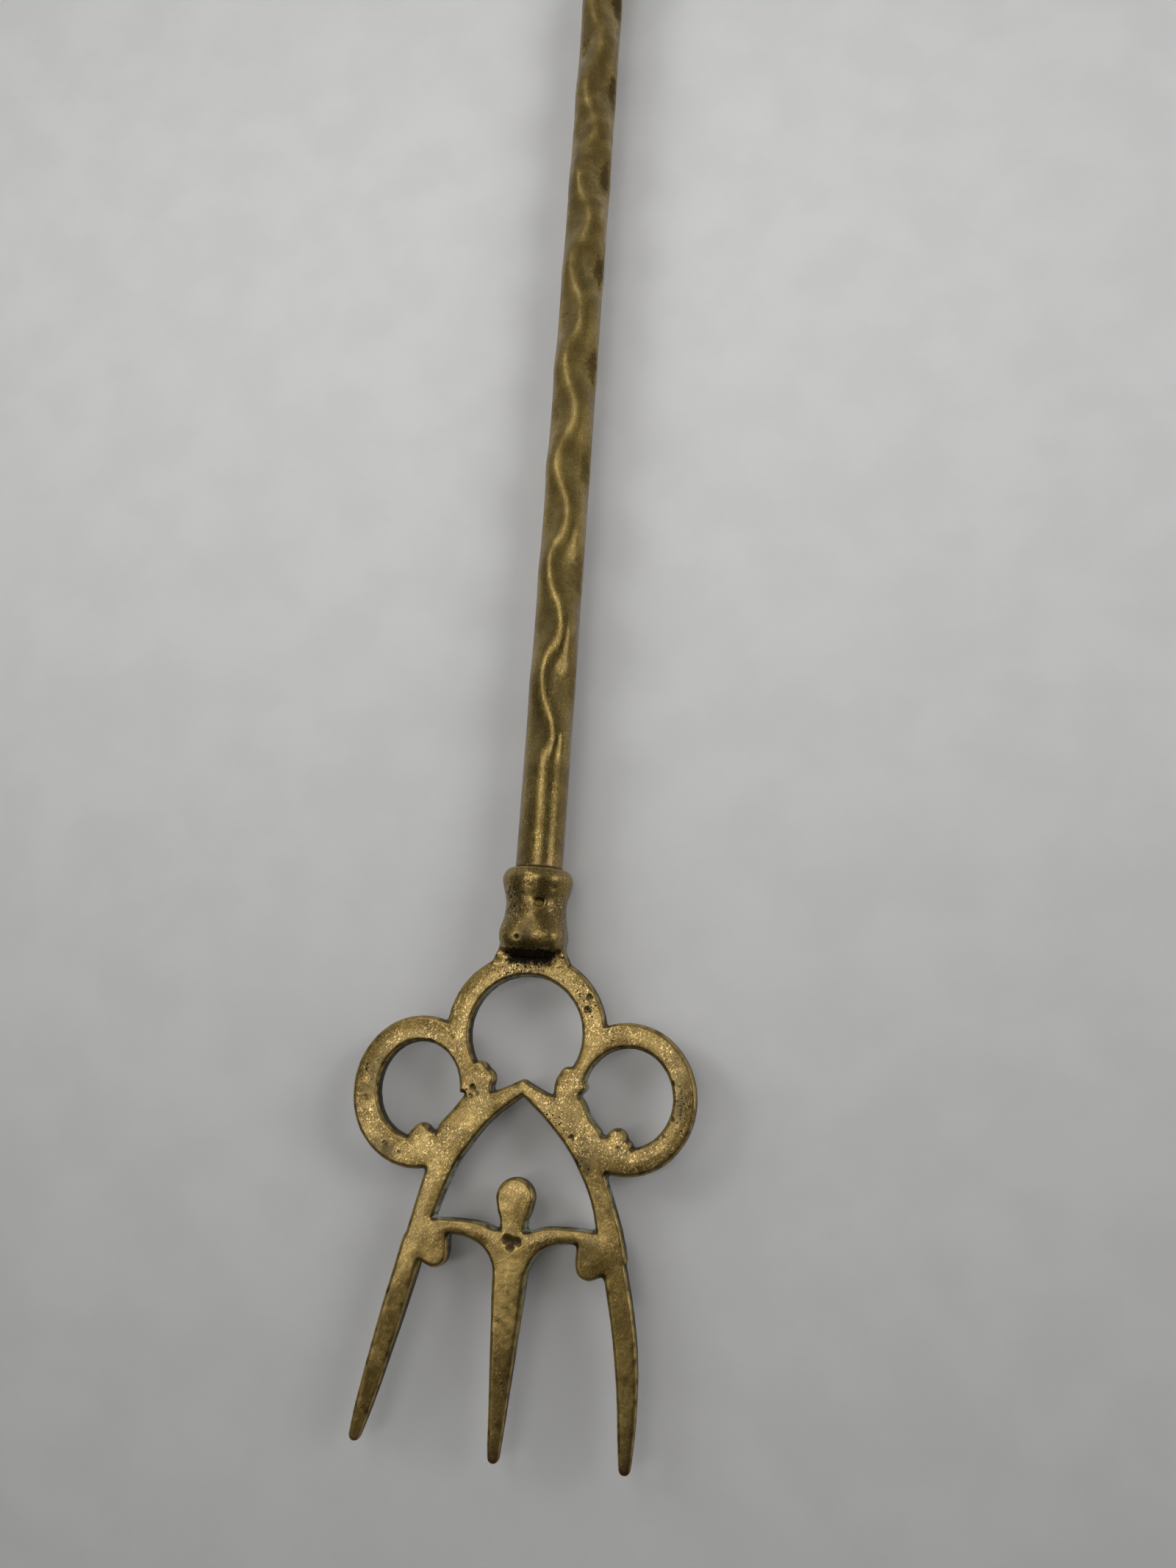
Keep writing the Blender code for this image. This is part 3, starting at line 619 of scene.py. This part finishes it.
def hammered_rod(t):
    rod = add(t, "GeometryNodeMeshCylinder", {"fill_type": "TRIANGLE_FAN"}, Vertices=32, Side_Segments=24,
              Fill_Segments=6, Radius=pin["Radius"], Depth=add(t, MATH, TIMES, pin["Half"], 2.0))
    spot = add(t, "GeometryNodeInputPosition")
    x, y, z = list(add(t, SPLIT, None, spot).node.outputs)
    squares = add(t, MATH, PLUS, add(t, MATH, POWER, x, 2.0), add(t, MATH, POWER, y, 2.0))
    off_axis = add(t, MATH, ROOT, squares)
    outer = add(t, MATH, POWER, add(t, MATH, OVER, off_axis, pin["Radius"]), 2.0)
    hammered = add(t, NOISE, {"noise_dimensions": "4D"}, Vector=spot, W=pin["Seed"], Scale=PIN_DENTS)
    lower = add(t, MATH, TIMES, pin["Dome"], add(t, MATH, PLUS, outer, hammered))
    tip = add(t, MATH, POWER, add(t, MATH, OVER, z, pin["Half"]), PIN_END)
    up = add(t, MATH, MINUS, z, add(t, MATH, TIMES, lower, tip))
    sine, cosine = add(t, MATH, SINE, pin["Lean"]), add(t, MATH, COSINE, pin["Lean"])
    across = add(t, MATH, PLUS, add(t, MATH, TIMES, x, cosine), add(t, MATH, TIMES, up, sine))
    above = add(t, MATH, MINUS, add(t, MATH, TIMES, up, cosine), add(t, MATH, TIMES, x, sine))
    moved = add(t, JOIN, None, across, add(t, MATH, PLUS, y, pin["Along"]),
                add(t, MATH, PLUS, above, pin["Height"]))
    marked = add(t, MARK, None, rod, Name="side", Value=add(t, MATH, OVER, y, pin["Radius"]))
    return add(t, "GeometryNodeSetPosition", None, marked, Position=moved)


dress(pin_tree, hammered_rod(pin_tree), pin["Material"], pin_out)
print("pin tree:", len(pin_tree.nodes), "nodes")

# %% [markdown]
# ## Patterns for the brass
# The brasses are made from a few patterns: soft clouds, a fine sparkle, pores and file marks. Each has its
# size in millimetres. The castings' brass and the tube's end in the same way: where the surface is dull it
# loses its metal, its thin clear coat and most of its shine.

# %% Patterns
COAT_ROUGHNESS = 0.2
PLAIN_SHINE, DULL_SHINE_LOSS = 0.5, 0.42


def clouds(tree, at, size_mm, detail=3.0, low=0.35, high=0.65):
    """Soft patches of a size in millimetres, as shares from 0 to 1."""
    texture = add(tree, NOISE, None, Vector=at, Scale=1 / (size_mm * MM), Detail=detail)
    return add(tree, RANGE, SMOOTH, texture, low, high)


def sparkle(tree, at, size_mm, contrast):
    """Uneven brightness from a fine grain: factors on both sides of 1 that differ by up to the contrast."""
    grain = add(tree, NOISE, None, Vector=at, Scale=1 / (size_mm * MM), Detail=2.0, Roughness=0.6)
    return add(tree, MATH, POWER, contrast, add(tree, MATH, MINUS, grain, NOISE_MEAN))


def pores(tree, at, spacing_mm, share):
    """Small holes of many sizes, in that share of the cells of a net."""
    cells = add(tree, CELLS, None, Vector=at, Scale=1 / (spacing_mm * MM)).node.outputs
    chance = add(tree, SPLIT, None, cells["Color"])
    reach = add(tree, MATH, SMALLER, add(tree, MATH, MINUS, share, chance), 0.36)
    return add(tree, RANGE, SMOOTH, add(tree, MATH, MINUS, reach, cells["Distance"]), 0.0, 0.08)


def file_marks(tree, at, turn_deg, width_mm, stretch):
    """Fine lines in one direction, as heights from 0 to 1."""
    turned = add(tree, "ShaderNodeMapping", {"vector_type": "TEXTURE"}, Vector=at,
                 Rotation=(0.0, 0.0, math.radians(turn_deg)), Scale=(1.0, stretch, 1.0))
    return add(tree, NOISE, None, Vector=turned, Scale=1 / (width_mm * MM), Detail=2.0)


def blank_material(name):
    material = bpy.data.materials.new(name)
    material.use_nodes = True
    tree = material.node_tree
    at = tree.nodes.new("ShaderNodeTexCoord").outputs["Object"]
    return material, tree, tree.nodes["Principled BSDF"].inputs, at


def finish_brass(t, surface, colour, rough, dull, rise, metal_loss, coat):
    """Links what a brass has worked out to its surface."""
    t.links.new(colour, surface["Base Color"])
    t.links.new(rough, surface["Roughness"])
    t.links.new(add(t, MATH, MINUS, 1.0, add(t, MATH, TIMES, dull, metal_loss)), surface["Metallic"])
    t.links.new(add(t, RANGE, None, dull, 0.0, 0.5, coat, 0.0), surface["Coat Weight"])
    surface["Coat Roughness"].default_value = COAT_ROUGHNESS
    shine = add(t, MATH, MINUS, PLAIN_SHINE, add(t, MATH, TIMES, dull, DULL_SHINE_LOSS))
    t.links.new(shine, surface["Specular IOR Level"])
    t.links.new(add(t, "ShaderNodeBump", None, Strength=1.0, Distance=MM, Height=rise), surface["Normal"])


# %% [markdown]
# ## Tarnished cast brass
# Old brass is a yellow metal under a thin brown and olive film. The film is rubbed thin on the faces and
# edges, and stays on the walls, in the corners and on the tines, which were held over a fire. Under it the
# filed casting is finely grained and scratched, so its highlights sparkle. The grain is a fifth of a
# millimetre, the file marks are a tenth wide and nearly one long, and the bright nicks are two tenths wide
# and fade towards the tines. The film comes in clouds a few millimetres wide, and the pores are a third to
# half a millimetre apart where they are dense, and one elsewhere. Painted shade darkens the rounded rims and
# the walls, dirt and painted shade blacken the corners, hollows and the step in front of the socket's foot,
# and a few listed spots are painted brighter as painted highlights.

# %% Cast brass
NICKS_FADE = (42.0, 56.0)  # millimetres below the mouth


def cast_brass_material():
    material, t, surface, at = blank_material("tarnished cast brass")
    wear_and_painted_light = {name: add(t, ATTRIBUTE, {"attribute_name": name})
            for name in ("edge", "dirt_and_shade", "wall", "rim", "green", "pores", "film", "tip", "pit")}
    grain = sparkle(t, at, 0.2, 22.0)
    marks = file_marks(t, at, -38.0, 0.1, 9.0)
    nicks = add(t, MATH, LARGER, file_marks(t, at, -30.0, 0.2, 3.0), file_marks(t, at, 48.0, 0.2, 2.5))
    bright = add(t, MATH, TIMES, add(t, RANGE, SMOOTH, nicks, 0.6, 0.71), clouds(t, at, 3.0, 3.0, 0.3, 0.62))
    bright = add(t, MATH, TIMES, bright, add(t, MATH, MINUS, 1.0, wear_and_painted_light["film"]))
    place = add(t, SPLIT, None, at).node.outputs
    down = add(t, MATH, OVER, add(t, MATH, MINUS, MOUTH.y, place["Y"]), MM)
    bright = add(t, MATH, TIMES, bright, add(t, RANGE, SMOOTH, down, *NICKS_FADE, 1.0, 0.35))
    colour = add(t, MIX, COLOURS, clouds(t, at, 6.0), linear("#8e7743"), linear("#705b2e"))
    colour = add(t, MIX, TINT, 1.0, colour, grain)
    colour = add(t, MIX, TINT, 1.0, colour, add(t, MATH, PLUS, add(t, MATH, TIMES, bright, 3.2), 0.86))
    colour = add(t, MIX, COLOURS, add(t, MATH, TIMES, bright, 0.4), colour, linear("#fff2cc"))
    scratches = add(t, MATH, TIMES, add(t, RANGE, SMOOTH, marks, 0.55, 0.7), 0.25)
    colour = add(t, MIX, COLOURS, scratches, colour, linear("#f4d88c"))
    film = add(t, MATH, TIMES, clouds(t, at, 2.2, 5.0, 0.3, 0.62), add(t, MATH, PLUS, wear_and_painted_light["film"], 0.16))
    colour = add(t, MIX, COLOURS, film, colour, linear("#574820"))
    # painted shade: the dark line along the rounded rims
    colour = add(t, MIX, COLOURS, add(t, MATH, TIMES, wear_and_painted_light["rim"], 0.85), colour, linear("#332810"))
    # walls: dark film, and painted shade over it
    sides = add(t, MIX, COLOURS, clouds(t, at, 1.4, 4.0), linear("#241b0f"), linear("#403830"))
    colour = add(t, MIX, COLOURS, add(t, MATH, TIMES, wear_and_painted_light["wall"], 0.95), colour, sides)
    # rubbed edges, and painted highlights at the listed spots
    rubbed_and_highlit = add(t, MATH, TIMES, wear_and_painted_light["edge"], clouds(t, at, 1.5, 2.0, 0.2, 0.6))
    colour = add(t, MIX, COLOURS, add(t, MATH, TIMES, rubbed_and_highlit, 0.75), colour, linear("#c3a764"))
    colour = add(t, MIX, COLOURS, add(t, MATH, TIMES, wear_and_painted_light["tip"], 0.7), colour, linear("#6a4530"))
    few = add(t, MATH, PLUS, add(t, MATH, TIMES, wear_and_painted_light["pores"], 0.4), 0.12)
    holes = add(t, MATH, LARGER, pores(t, at, 0.45, wear_and_painted_light["pores"]), pores(t, at, 1.0, few))
    holes = add(t, MATH, LARGER, holes, pores(t, at, 0.33, wear_and_painted_light["pores"]))
    # dirt and painted shade: corners, hollows and the step before the socket's foot go near black, with a
    # ragged border
    ragged = add(t, NOISE, None, Vector=at, Scale=1 / (0.6 * MM), Detail=4.0, Roughness=0.7)
    dirt_and_shade_level = add(t, MATH, PLUS, add(t, MATH, TIMES, wear_and_painted_light["dirt_and_shade"], 0.7), ragged)
    grime_and_shade = add(t, RANGE, SMOOTH, dirt_and_shade_level, 0.9, 1.15)
    black = add(t, MATH, LARGER, add(t, MATH, LARGER, grime_and_shade, holes), add(t, MATH, TIMES, wear_and_painted_light["pit"], 0.85))
    colour = add(t, MIX, COLOURS, black, colour, linear("#171109"))
    green = add(t, MATH, TIMES, wear_and_painted_light["green"], clouds(t, at, 0.8, 3.0, 0.35, 0.55))
    colour = add(t, MIX, COLOURS, green, colour, linear("#a3ae9c"))
    crust_and_shade = add(t, MATH, LARGER, black, green)
    dull = add(t, MATH, LARGER, crust_and_shade, add(t, MATH, TIMES, wear_and_painted_light["wall"], 0.75))
    rough = add(t, RANGE, None, clouds(t, at, 1.6, 3.0, 0.2, 0.8), 0.0, 1.0, 0.24, 0.34)
    rough = add(t, MATH, PLUS, rough, add(t, MATH, TIMES, add(t, MATH, LARGER, dull, film), 0.3))
    dents = add(t, NOISE, None, Vector=at, Scale=1 / (1.1 * MM), Detail=5.0, Roughness=0.6)
    rise = add(t, MATH, PLUS, add(t, MATH, TIMES, dents, 0.032), add(t, MATH, TIMES, marks, 0.005))
    rise = add(t, MATH, MINUS, rise, add(t, MATH, TIMES, black, 0.06))
    finish_brass(t, surface, colour, rough, dull, rise, metal_loss=0.9, coat=0.25)
    return material


cast_brass = cast_brass_material()
print(cast_brass.name, len(cast_brass.node_tree.nodes), "nodes")

# %% [markdown]
# ## Drawn brass for the tube
# Drawn tube is denser and smoother than a casting, with faint lines along it from the die, a fifth of a
# millimetre wide and twelve times as long. Dirt and painted shade lie in the pinches, most of them on the
# tube's right side, away from the main lamp, and thicker towards the handle. Away from the socket the bright
# flecks fade, the colour is painted lighter to stand in for the broad light there, and the metal gets less
# shiny. The last few millimetres at the socket have the copper tint that heat leaves.

# %% Drawn brass
# millimetres above the mouth
FLECKS_FADE, PAINTED_LIGHTER, DULLER = (15.0, 60.0), (25.0, 75.0), (25.0, 90.0)
AGED, SOILED_AND_SHADED = (60.0, 150.0), (0.0, 120.0)
HEATED, RING = (3.5, 0.4), (0.7, 0.15)
RIGHT_SIDE = (2 * MM, 4 * MM)


def drawn_brass_material():
    material, t, surface, at = blank_material("tarnished drawn brass")
    place = add(t, SPLIT, None, at).node.outputs
    along = add(t, MATH, OVER, add(t, MATH, MINUS, place["Y"], MOUTH.y), MM)
    pinch = add(t, ATTRIBUTE, {"attribute_name": "pinch"})
    grain = sparkle(t, at, 0.2, 8.0)
    bright = add(t, MATH, TIMES, clouds(t, at, 0.24, 2.0, 0.54, 0.7), clouds(t, at, 3.0, 3.0, 0.3, 0.65))
    bright = add(t, MATH, TIMES, bright, add(t, RANGE, SMOOTH, along, *FLECKS_FADE, 1.0, 0.25))
    lines = file_marks(t, at, 0.0, 0.2, 12.0)
    colour = add(t, MIX, COLOURS, clouds(t, at, 5.0), linear("#927d46"), linear("#7a6634"))
    colour = add(t, MIX, TINT, 1.0, colour, grain)
    colour = add(t, MIX, TINT, 1.0, colour, add(t, MATH, PLUS, add(t, MATH, TIMES, bright, 2.2), 0.92))
    # painted light: the colour grows lighter away from the socket, standing in for the broad light on the upper
    # tube
    colour = add(t, MIX, TINT, 1.0, colour, add(t, RANGE, SMOOTH, along, *PAINTED_LIGHTER, 1.0, 1.35))
    heat = add(t, MATH, TIMES, add(t, RANGE, SMOOTH, along, *HEATED), clouds(t, at, 0.9, 2.0, 0.35, 0.85))
    colour = add(t, MIX, COLOURS, heat, colour, linear("#9c7955"))
    aged = add(t, RANGE, SMOOTH, along, *AGED, 0.3, 0.7)
    film = add(t, MATH, TIMES, add(t, MATH, TIMES, clouds(t, at, 2.4, 5.0), aged), 0.75)
    colour = add(t, MIX, COLOURS, film, colour, linear("#736030"))
    blotch = add(t, NOISE, None, Vector=at, Scale=1 / (1.1 * MM), Detail=5.0, Roughness=0.65)
    # dirt and painted shade: dark patches in the pinches, heavier on the right side and towards the handle
    patch = add(t, MATH, PLUS, pinch, add(t, MATH, TIMES, blotch, 1.3))
    side = add(t, RANGE, SMOOTH, place["X"], *RIGHT_SIDE, 1.4, 0.6)
    soil_and_shade = add(t, RANGE, SMOOTH, add(t, MATH, MINUS, patch, side), 0.0, 0.6)
    soil_and_shade = add(t, MATH, TIMES, soil_and_shade, add(t, RANGE, SMOOTH, along, *SOILED_AND_SHADED, 0.55, 1.0))
    colour = add(t, MIX, COLOURS, add(t, MATH, TIMES, soil_and_shade, 0.88), colour, linear("#2f2411"))
    holes = pores(t, at, 0.7, 0.16)
    colour = add(t, MIX, COLOURS, holes, colour, linear("#231a0d"))
    ring = add(t, RANGE, SMOOTH, along, *RING)
    colour = add(t, MIX, COLOURS, ring, colour, linear("#2a2013"))
    dull = add(t, MATH, LARGER, add(t, MATH, LARGER, soil_and_shade, holes), ring)
    rough = add(t, RANGE, SMOOTH, lines, 0.4, 0.65, 0.22, 0.34)
    rough = add(t, MATH, PLUS, rough, add(t, RANGE, SMOOTH, along, *DULLER, 0.0, 0.16))
    rough = add(t, MATH, PLUS, rough, add(t, MATH, TIMES, add(t, MATH, LARGER, dull, film), 0.25))
    dents = add(t, NOISE, None, Vector=at, Scale=1 / (0.9 * MM), Detail=4.0, Roughness=0.55)
    rise = add(t, MATH, PLUS, add(t, MATH, TIMES, dents, 0.032), add(t, MATH, TIMES, lines, 0.006))
    rise = add(t, MATH, MINUS, rise, add(t, MATH, TIMES, holes, 0.05))
    finish_brass(t, surface, colour, rough, dull, rise, metal_loss=0.7, coat=0.4)
    return material


drawn_brass = drawn_brass_material()
print(drawn_brass.name, len(drawn_brass.node_tree.nodes), "nodes")

# %% [markdown]
# ## Brown pin ends with painted shadow
# The filed ends of the pins have gone a rusty brown, darker than the socket round them. The half of each end
# towards the handle is painted dark as painted shadow, as if the pin sat a little below the socket's face. On
# the other half, with a ragged border, the brass still shows.

# %% Pin brass
PIN_METAL = 0.9


def pin_brass_material():
    material, t, surface, at = blank_material("browned pin brass with painted shadow")
    grain = add(t, NOISE, None, Vector=at, Scale=1 / (0.45 * MM), Detail=3.0)
    side = add(t, ATTRIBUTE, {"attribute_name": "side"})
    # painted shadow: the half of the end towards the handle is dark brown, the other half brass
    ragged = add(t, MATH, MINUS, add(t, MATH, TIMES, grain, 2.0), side)
    colour = add(t, MIX, COLOURS, clouds(t, at, 0.5), linear("#2a1d0b"), linear("#4a371c"))
    colour = add(t, MIX, COLOURS, add(t, RANGE, SMOOTH, ragged, 0.7, 1.1), colour, linear("#85703c"))
    bump = add(t, "ShaderNodeBump", None, Strength=0.4, Distance=0.05 * MM, Height=grain)
    t.links.new(colour, surface["Base Color"])
    t.links.new(add(t, RANGE, SMOOTH, grain, 0.3, 0.7, 0.45, 0.65), surface["Roughness"])
    t.links.new(bump, surface["Normal"])
    surface["Metallic"].default_value = PIN_METAL
    return material


pin_brass = pin_brass_material()
print(pin_brass.name, len(pin_brass.node_tree.nodes), "nodes")

# %% [markdown]
# ## Growing the tube and the pins
# With the finishes made, the trees can run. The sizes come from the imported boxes, the pinches from the
# pattern seen on the fork: one to the left and one to the right in every 20.4 millimetres or a little more,
# so that a whole number fits between the plain ends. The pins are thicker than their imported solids, because
# they fill their holes.

# %% Tube and pins
TUBE_WALL = 0.8
TUBE_UNEVENNESS = 0.1
PLAIN_END = 17.4
PINCH_PITCH = 20.4
PINCH_DEPTH = 0.9
PINCH_FADE = 6.0
PINCH_TURN = 3.0
PIN_RADIUS = 0.74
PIN_DOME = 0.12
pinched_length = SHAFT_SHOWING - 2 * PLAIN_END
pinches = round(pinched_length / PINCH_PITCH)
tube = grow("pinched_tube", tube_tree, {
    "Start": MOUTH.y - TUBE_SEAT * MM, "Height": MOUTH.z, "Length": (SHAFT_SHOWING + 2 * TUBE_SEAT) * MM,
    "Radius": TUBE_RADIUS * MM, "Wall": TUBE_WALL * MM, "Plain Start": (TUBE_SEAT + PLAIN_END) * MM,
    "Pinched Length": pinched_length * MM, "Pinches": float(pinches), "Depth": PINCH_DEPTH * MM,
    "Fade": PINCH_FADE * MM, "Turn": math.radians(PINCH_TURN), "Unevenness": TUBE_UNEVENNESS * MM,
    "Sides": 80, "Rings": 520, "Material": drawn_brass})
pins = []
for name, along, seed in (("hammered_head_pin", -PIN_DROP, 1.0),
                          ("hammered_eye_pin", SHAFT_SHOWING + PIN_DROP, 2.0)):
    pins.append(grow(name, pin_tree, {
        "Along": MOUTH.y + along * MM, "Height": MOUTH.z, "Lean": PIN_LEAN, "Radius": PIN_RADIUS * MM,
        "Half": PIN_HALF * MM, "Dome": PIN_DOME * MM, "Seed": seed, "Material": pin_brass}))
print("tube", triangles(tube), "triangles; pins", [triangles(piece) for piece in pins])
print(pinches, "pinches of", round(pinched_length / pinches, 1), "mm")

# %% [markdown]
# ## Putting the pieces in the frame
# Each finished piece stands for one imported solid and rides on the fork's one body. The castings are shaded
# smooth, since their roughness is in the skin itself.

# %% Pieces
for piece in (head, eye):
    piece.data.materials.append(cast_brass)
    piece.data.shade_smooth()
for piece, node, slot in ((head, "fork_head", "cast_brass"), (tube, "shaft_tube", "drawn_brass"),
                          (eye, "hanging_eye", "cast_brass"), (pins[0], "head_pin", "pin_brass"),
                          (pins[1], "eye_pin", "pin_brass")):
    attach(piece, "root")
    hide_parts(node)
    print(piece.name, "stands for", node)

# %% [markdown]
# ## A white sheet to lie on
# The fork lies on a plain sheet of pale paper. It is a large flat floor with a very faint cloudiness, so that
# it reads as paper and the fork's soft shadow shows on it.

# %% Floor
FLOOR_HALF = 6.0
floor_mesh = bpy.data.meshes.new("paper_sheet")
corners = [(x * FLOOR_HALF, y * FLOOR_HALF, 0.0) for x, y in ((-1, -1), (1, -1), (1, 1), (-1, 1))]
floor_mesh.from_pydata(corners, [], [(0, 1, 2, 3)])
floor = bpy.data.objects.new("paper_sheet", floor_mesh)
bpy.context.scene.collection.objects.link(floor)
paper, t, surface, at = blank_material("matt white paper")
paper_tone = add(t, MIX, COLOURS, clouds(t, at, 14.0, 6.0), linear("#c3c3c2"), linear("#c7c7c6"))
t.links.new(paper_tone, surface["Base Color"])
surface["Roughness"].default_value = 0.85
surface["Specular IOR Level"].default_value = 0.2
floor_mesh.materials.append(paper)
print("floor", 2 * FLOOR_HALF, "m square")

# %% [markdown]
# ## Light
# Three soft sheets of light hang over the fork, and the metal shows them: a narrow one a little to its left,
# one further left towards the handle and one low on its right. They leave the bright lines along the tube.
# Two more, one on each side, light the paper and don't show in the metal. A dim sky fills the rest, paler at
# the horizon and darker towards the person who looks at the fork, because metal shows what is round it.

# %% Lamps and sky
WARM, COOL = "#fffdfa", "#fdfdff"
FLOOR_AIM = Vector((0.0, 0.13, 0.0))
FLOOR_SPREAD = 50.0


def lamp(name, across_deg, along_deg, distance, size, radiance, colour, aim=Vector(), shows=True,
         spread_deg=180.0):
    """A soft sheet of light. Its angles lean from straight up to the right and towards the handle."""
    across, along = math.radians(across_deg), math.radians(along_deg)
    direction = Vector((math.tan(across), math.tan(along), 1.0)).normalized()
    data = bpy.data.lights.new(name, "AREA")
    data.shape = "RECTANGLE"
    data.size, data.size_y = size
    data.color = linear(colour)[:3]
    data.energy = radiance * math.pi * size[0] * size[1]
    data.spread = math.radians(spread_deg)
    thing = bpy.data.objects.new(name, data)
    turn = direction.to_track_quat("Z", "Y").to_matrix().to_4x4()
    thing.matrix_world = Matrix.Translation(MOUTH + aim + direction * distance) @ turn
    thing.visible_camera = False
    thing.visible_glossy = shows
    bpy.context.scene.collection.objects.link(thing)


lamp("left sheet", -10.5, -5.0, 0.6, (0.09, 0.57), 4.3, WARM)
lamp("far left sheet", -16.0, 28.0, 0.65, (0.17, 0.5), 2.1, WARM)
lamp("right sheet", 62.0, 5.0, 0.6, (0.22, 0.26), 2.0, WARM)
for name, across in (("left floor sheet", -52.0), ("right floor sheet", 52.0)):
    lamp(name, across, 20.0, 0.5, (0.3, 0.3), 0.59, COOL, aim=FLOOR_AIM, shows=False, spread_deg=FLOOR_SPREAD)
world = bpy.data.worlds.new("dim sky")
bpy.context.scene.world = world
world.use_nodes = True
sky_tree = world.node_tree
looking = sky_tree.nodes.new("ShaderNodeTexCoord").outputs["Generated"]
sky_way = add(sky_tree, SPLIT, None, looking).node.outputs
height = add(sky_tree, RANGE, SMOOTH, sky_way["Z"], 0.0, 0.9, 0.23, 0.1)
near = add(sky_tree, RANGE, SMOOTH, sky_way["Y"], -0.6, 0.7, 0.4, 2.2)
sky = sky_tree.nodes["Background"].inputs
sky["Color"].default_value = linear("#f4f6f8")
sky_tree.links.new(add(sky_tree, MATH, TIMES, height, near), sky["Strength"])
print("lamps:", [light.name for light in bpy.data.lights])

# %% [markdown]
# ## Camera
# The photograph was taken from close above, with the camera tipped a little towards the handle. The camera's
# place, its tilt and its lens come from matching known points of the fork, and it is rolled a few degrees
# about the shaft because the real fork lay tipped on its left ring.

# %% Camera
ROLL_ABOUT_SHAFT = math.radians(8.0)
LEAN = math.radians(3.597)
TILT = math.radians(13.9)
CAMERA_SPOT = Vector((10.381, -32.984, 196.969)) * MM
camera_data = bpy.data.cameras.new("camera")
camera_data.sensor_fit = "HORIZONTAL"
camera_data.sensor_width = 36.0
camera_data.lens = 36.07
camera_data.clip_start = 0.01
camera = bpy.data.objects.new("camera", camera_data)
rolled = Matrix.Translation(MOUTH) @ Matrix.Rotation(ROLL_ABOUT_SHAFT, 4, "Y")
placed = rolled @ Matrix.Translation(CAMERA_SPOT)
camera.matrix_world = placed @ Matrix.Rotation(LEAN, 4, "Z") @ Matrix.Rotation(TILT, 4, "X")
bpy.context.scene.collection.objects.link(camera)
bpy.context.scene.camera = camera
bpy.context.scene.view_settings.view_transform = "Standard"
print("camera at", [round(v / MM, 1) for v in camera.matrix_world.translation])
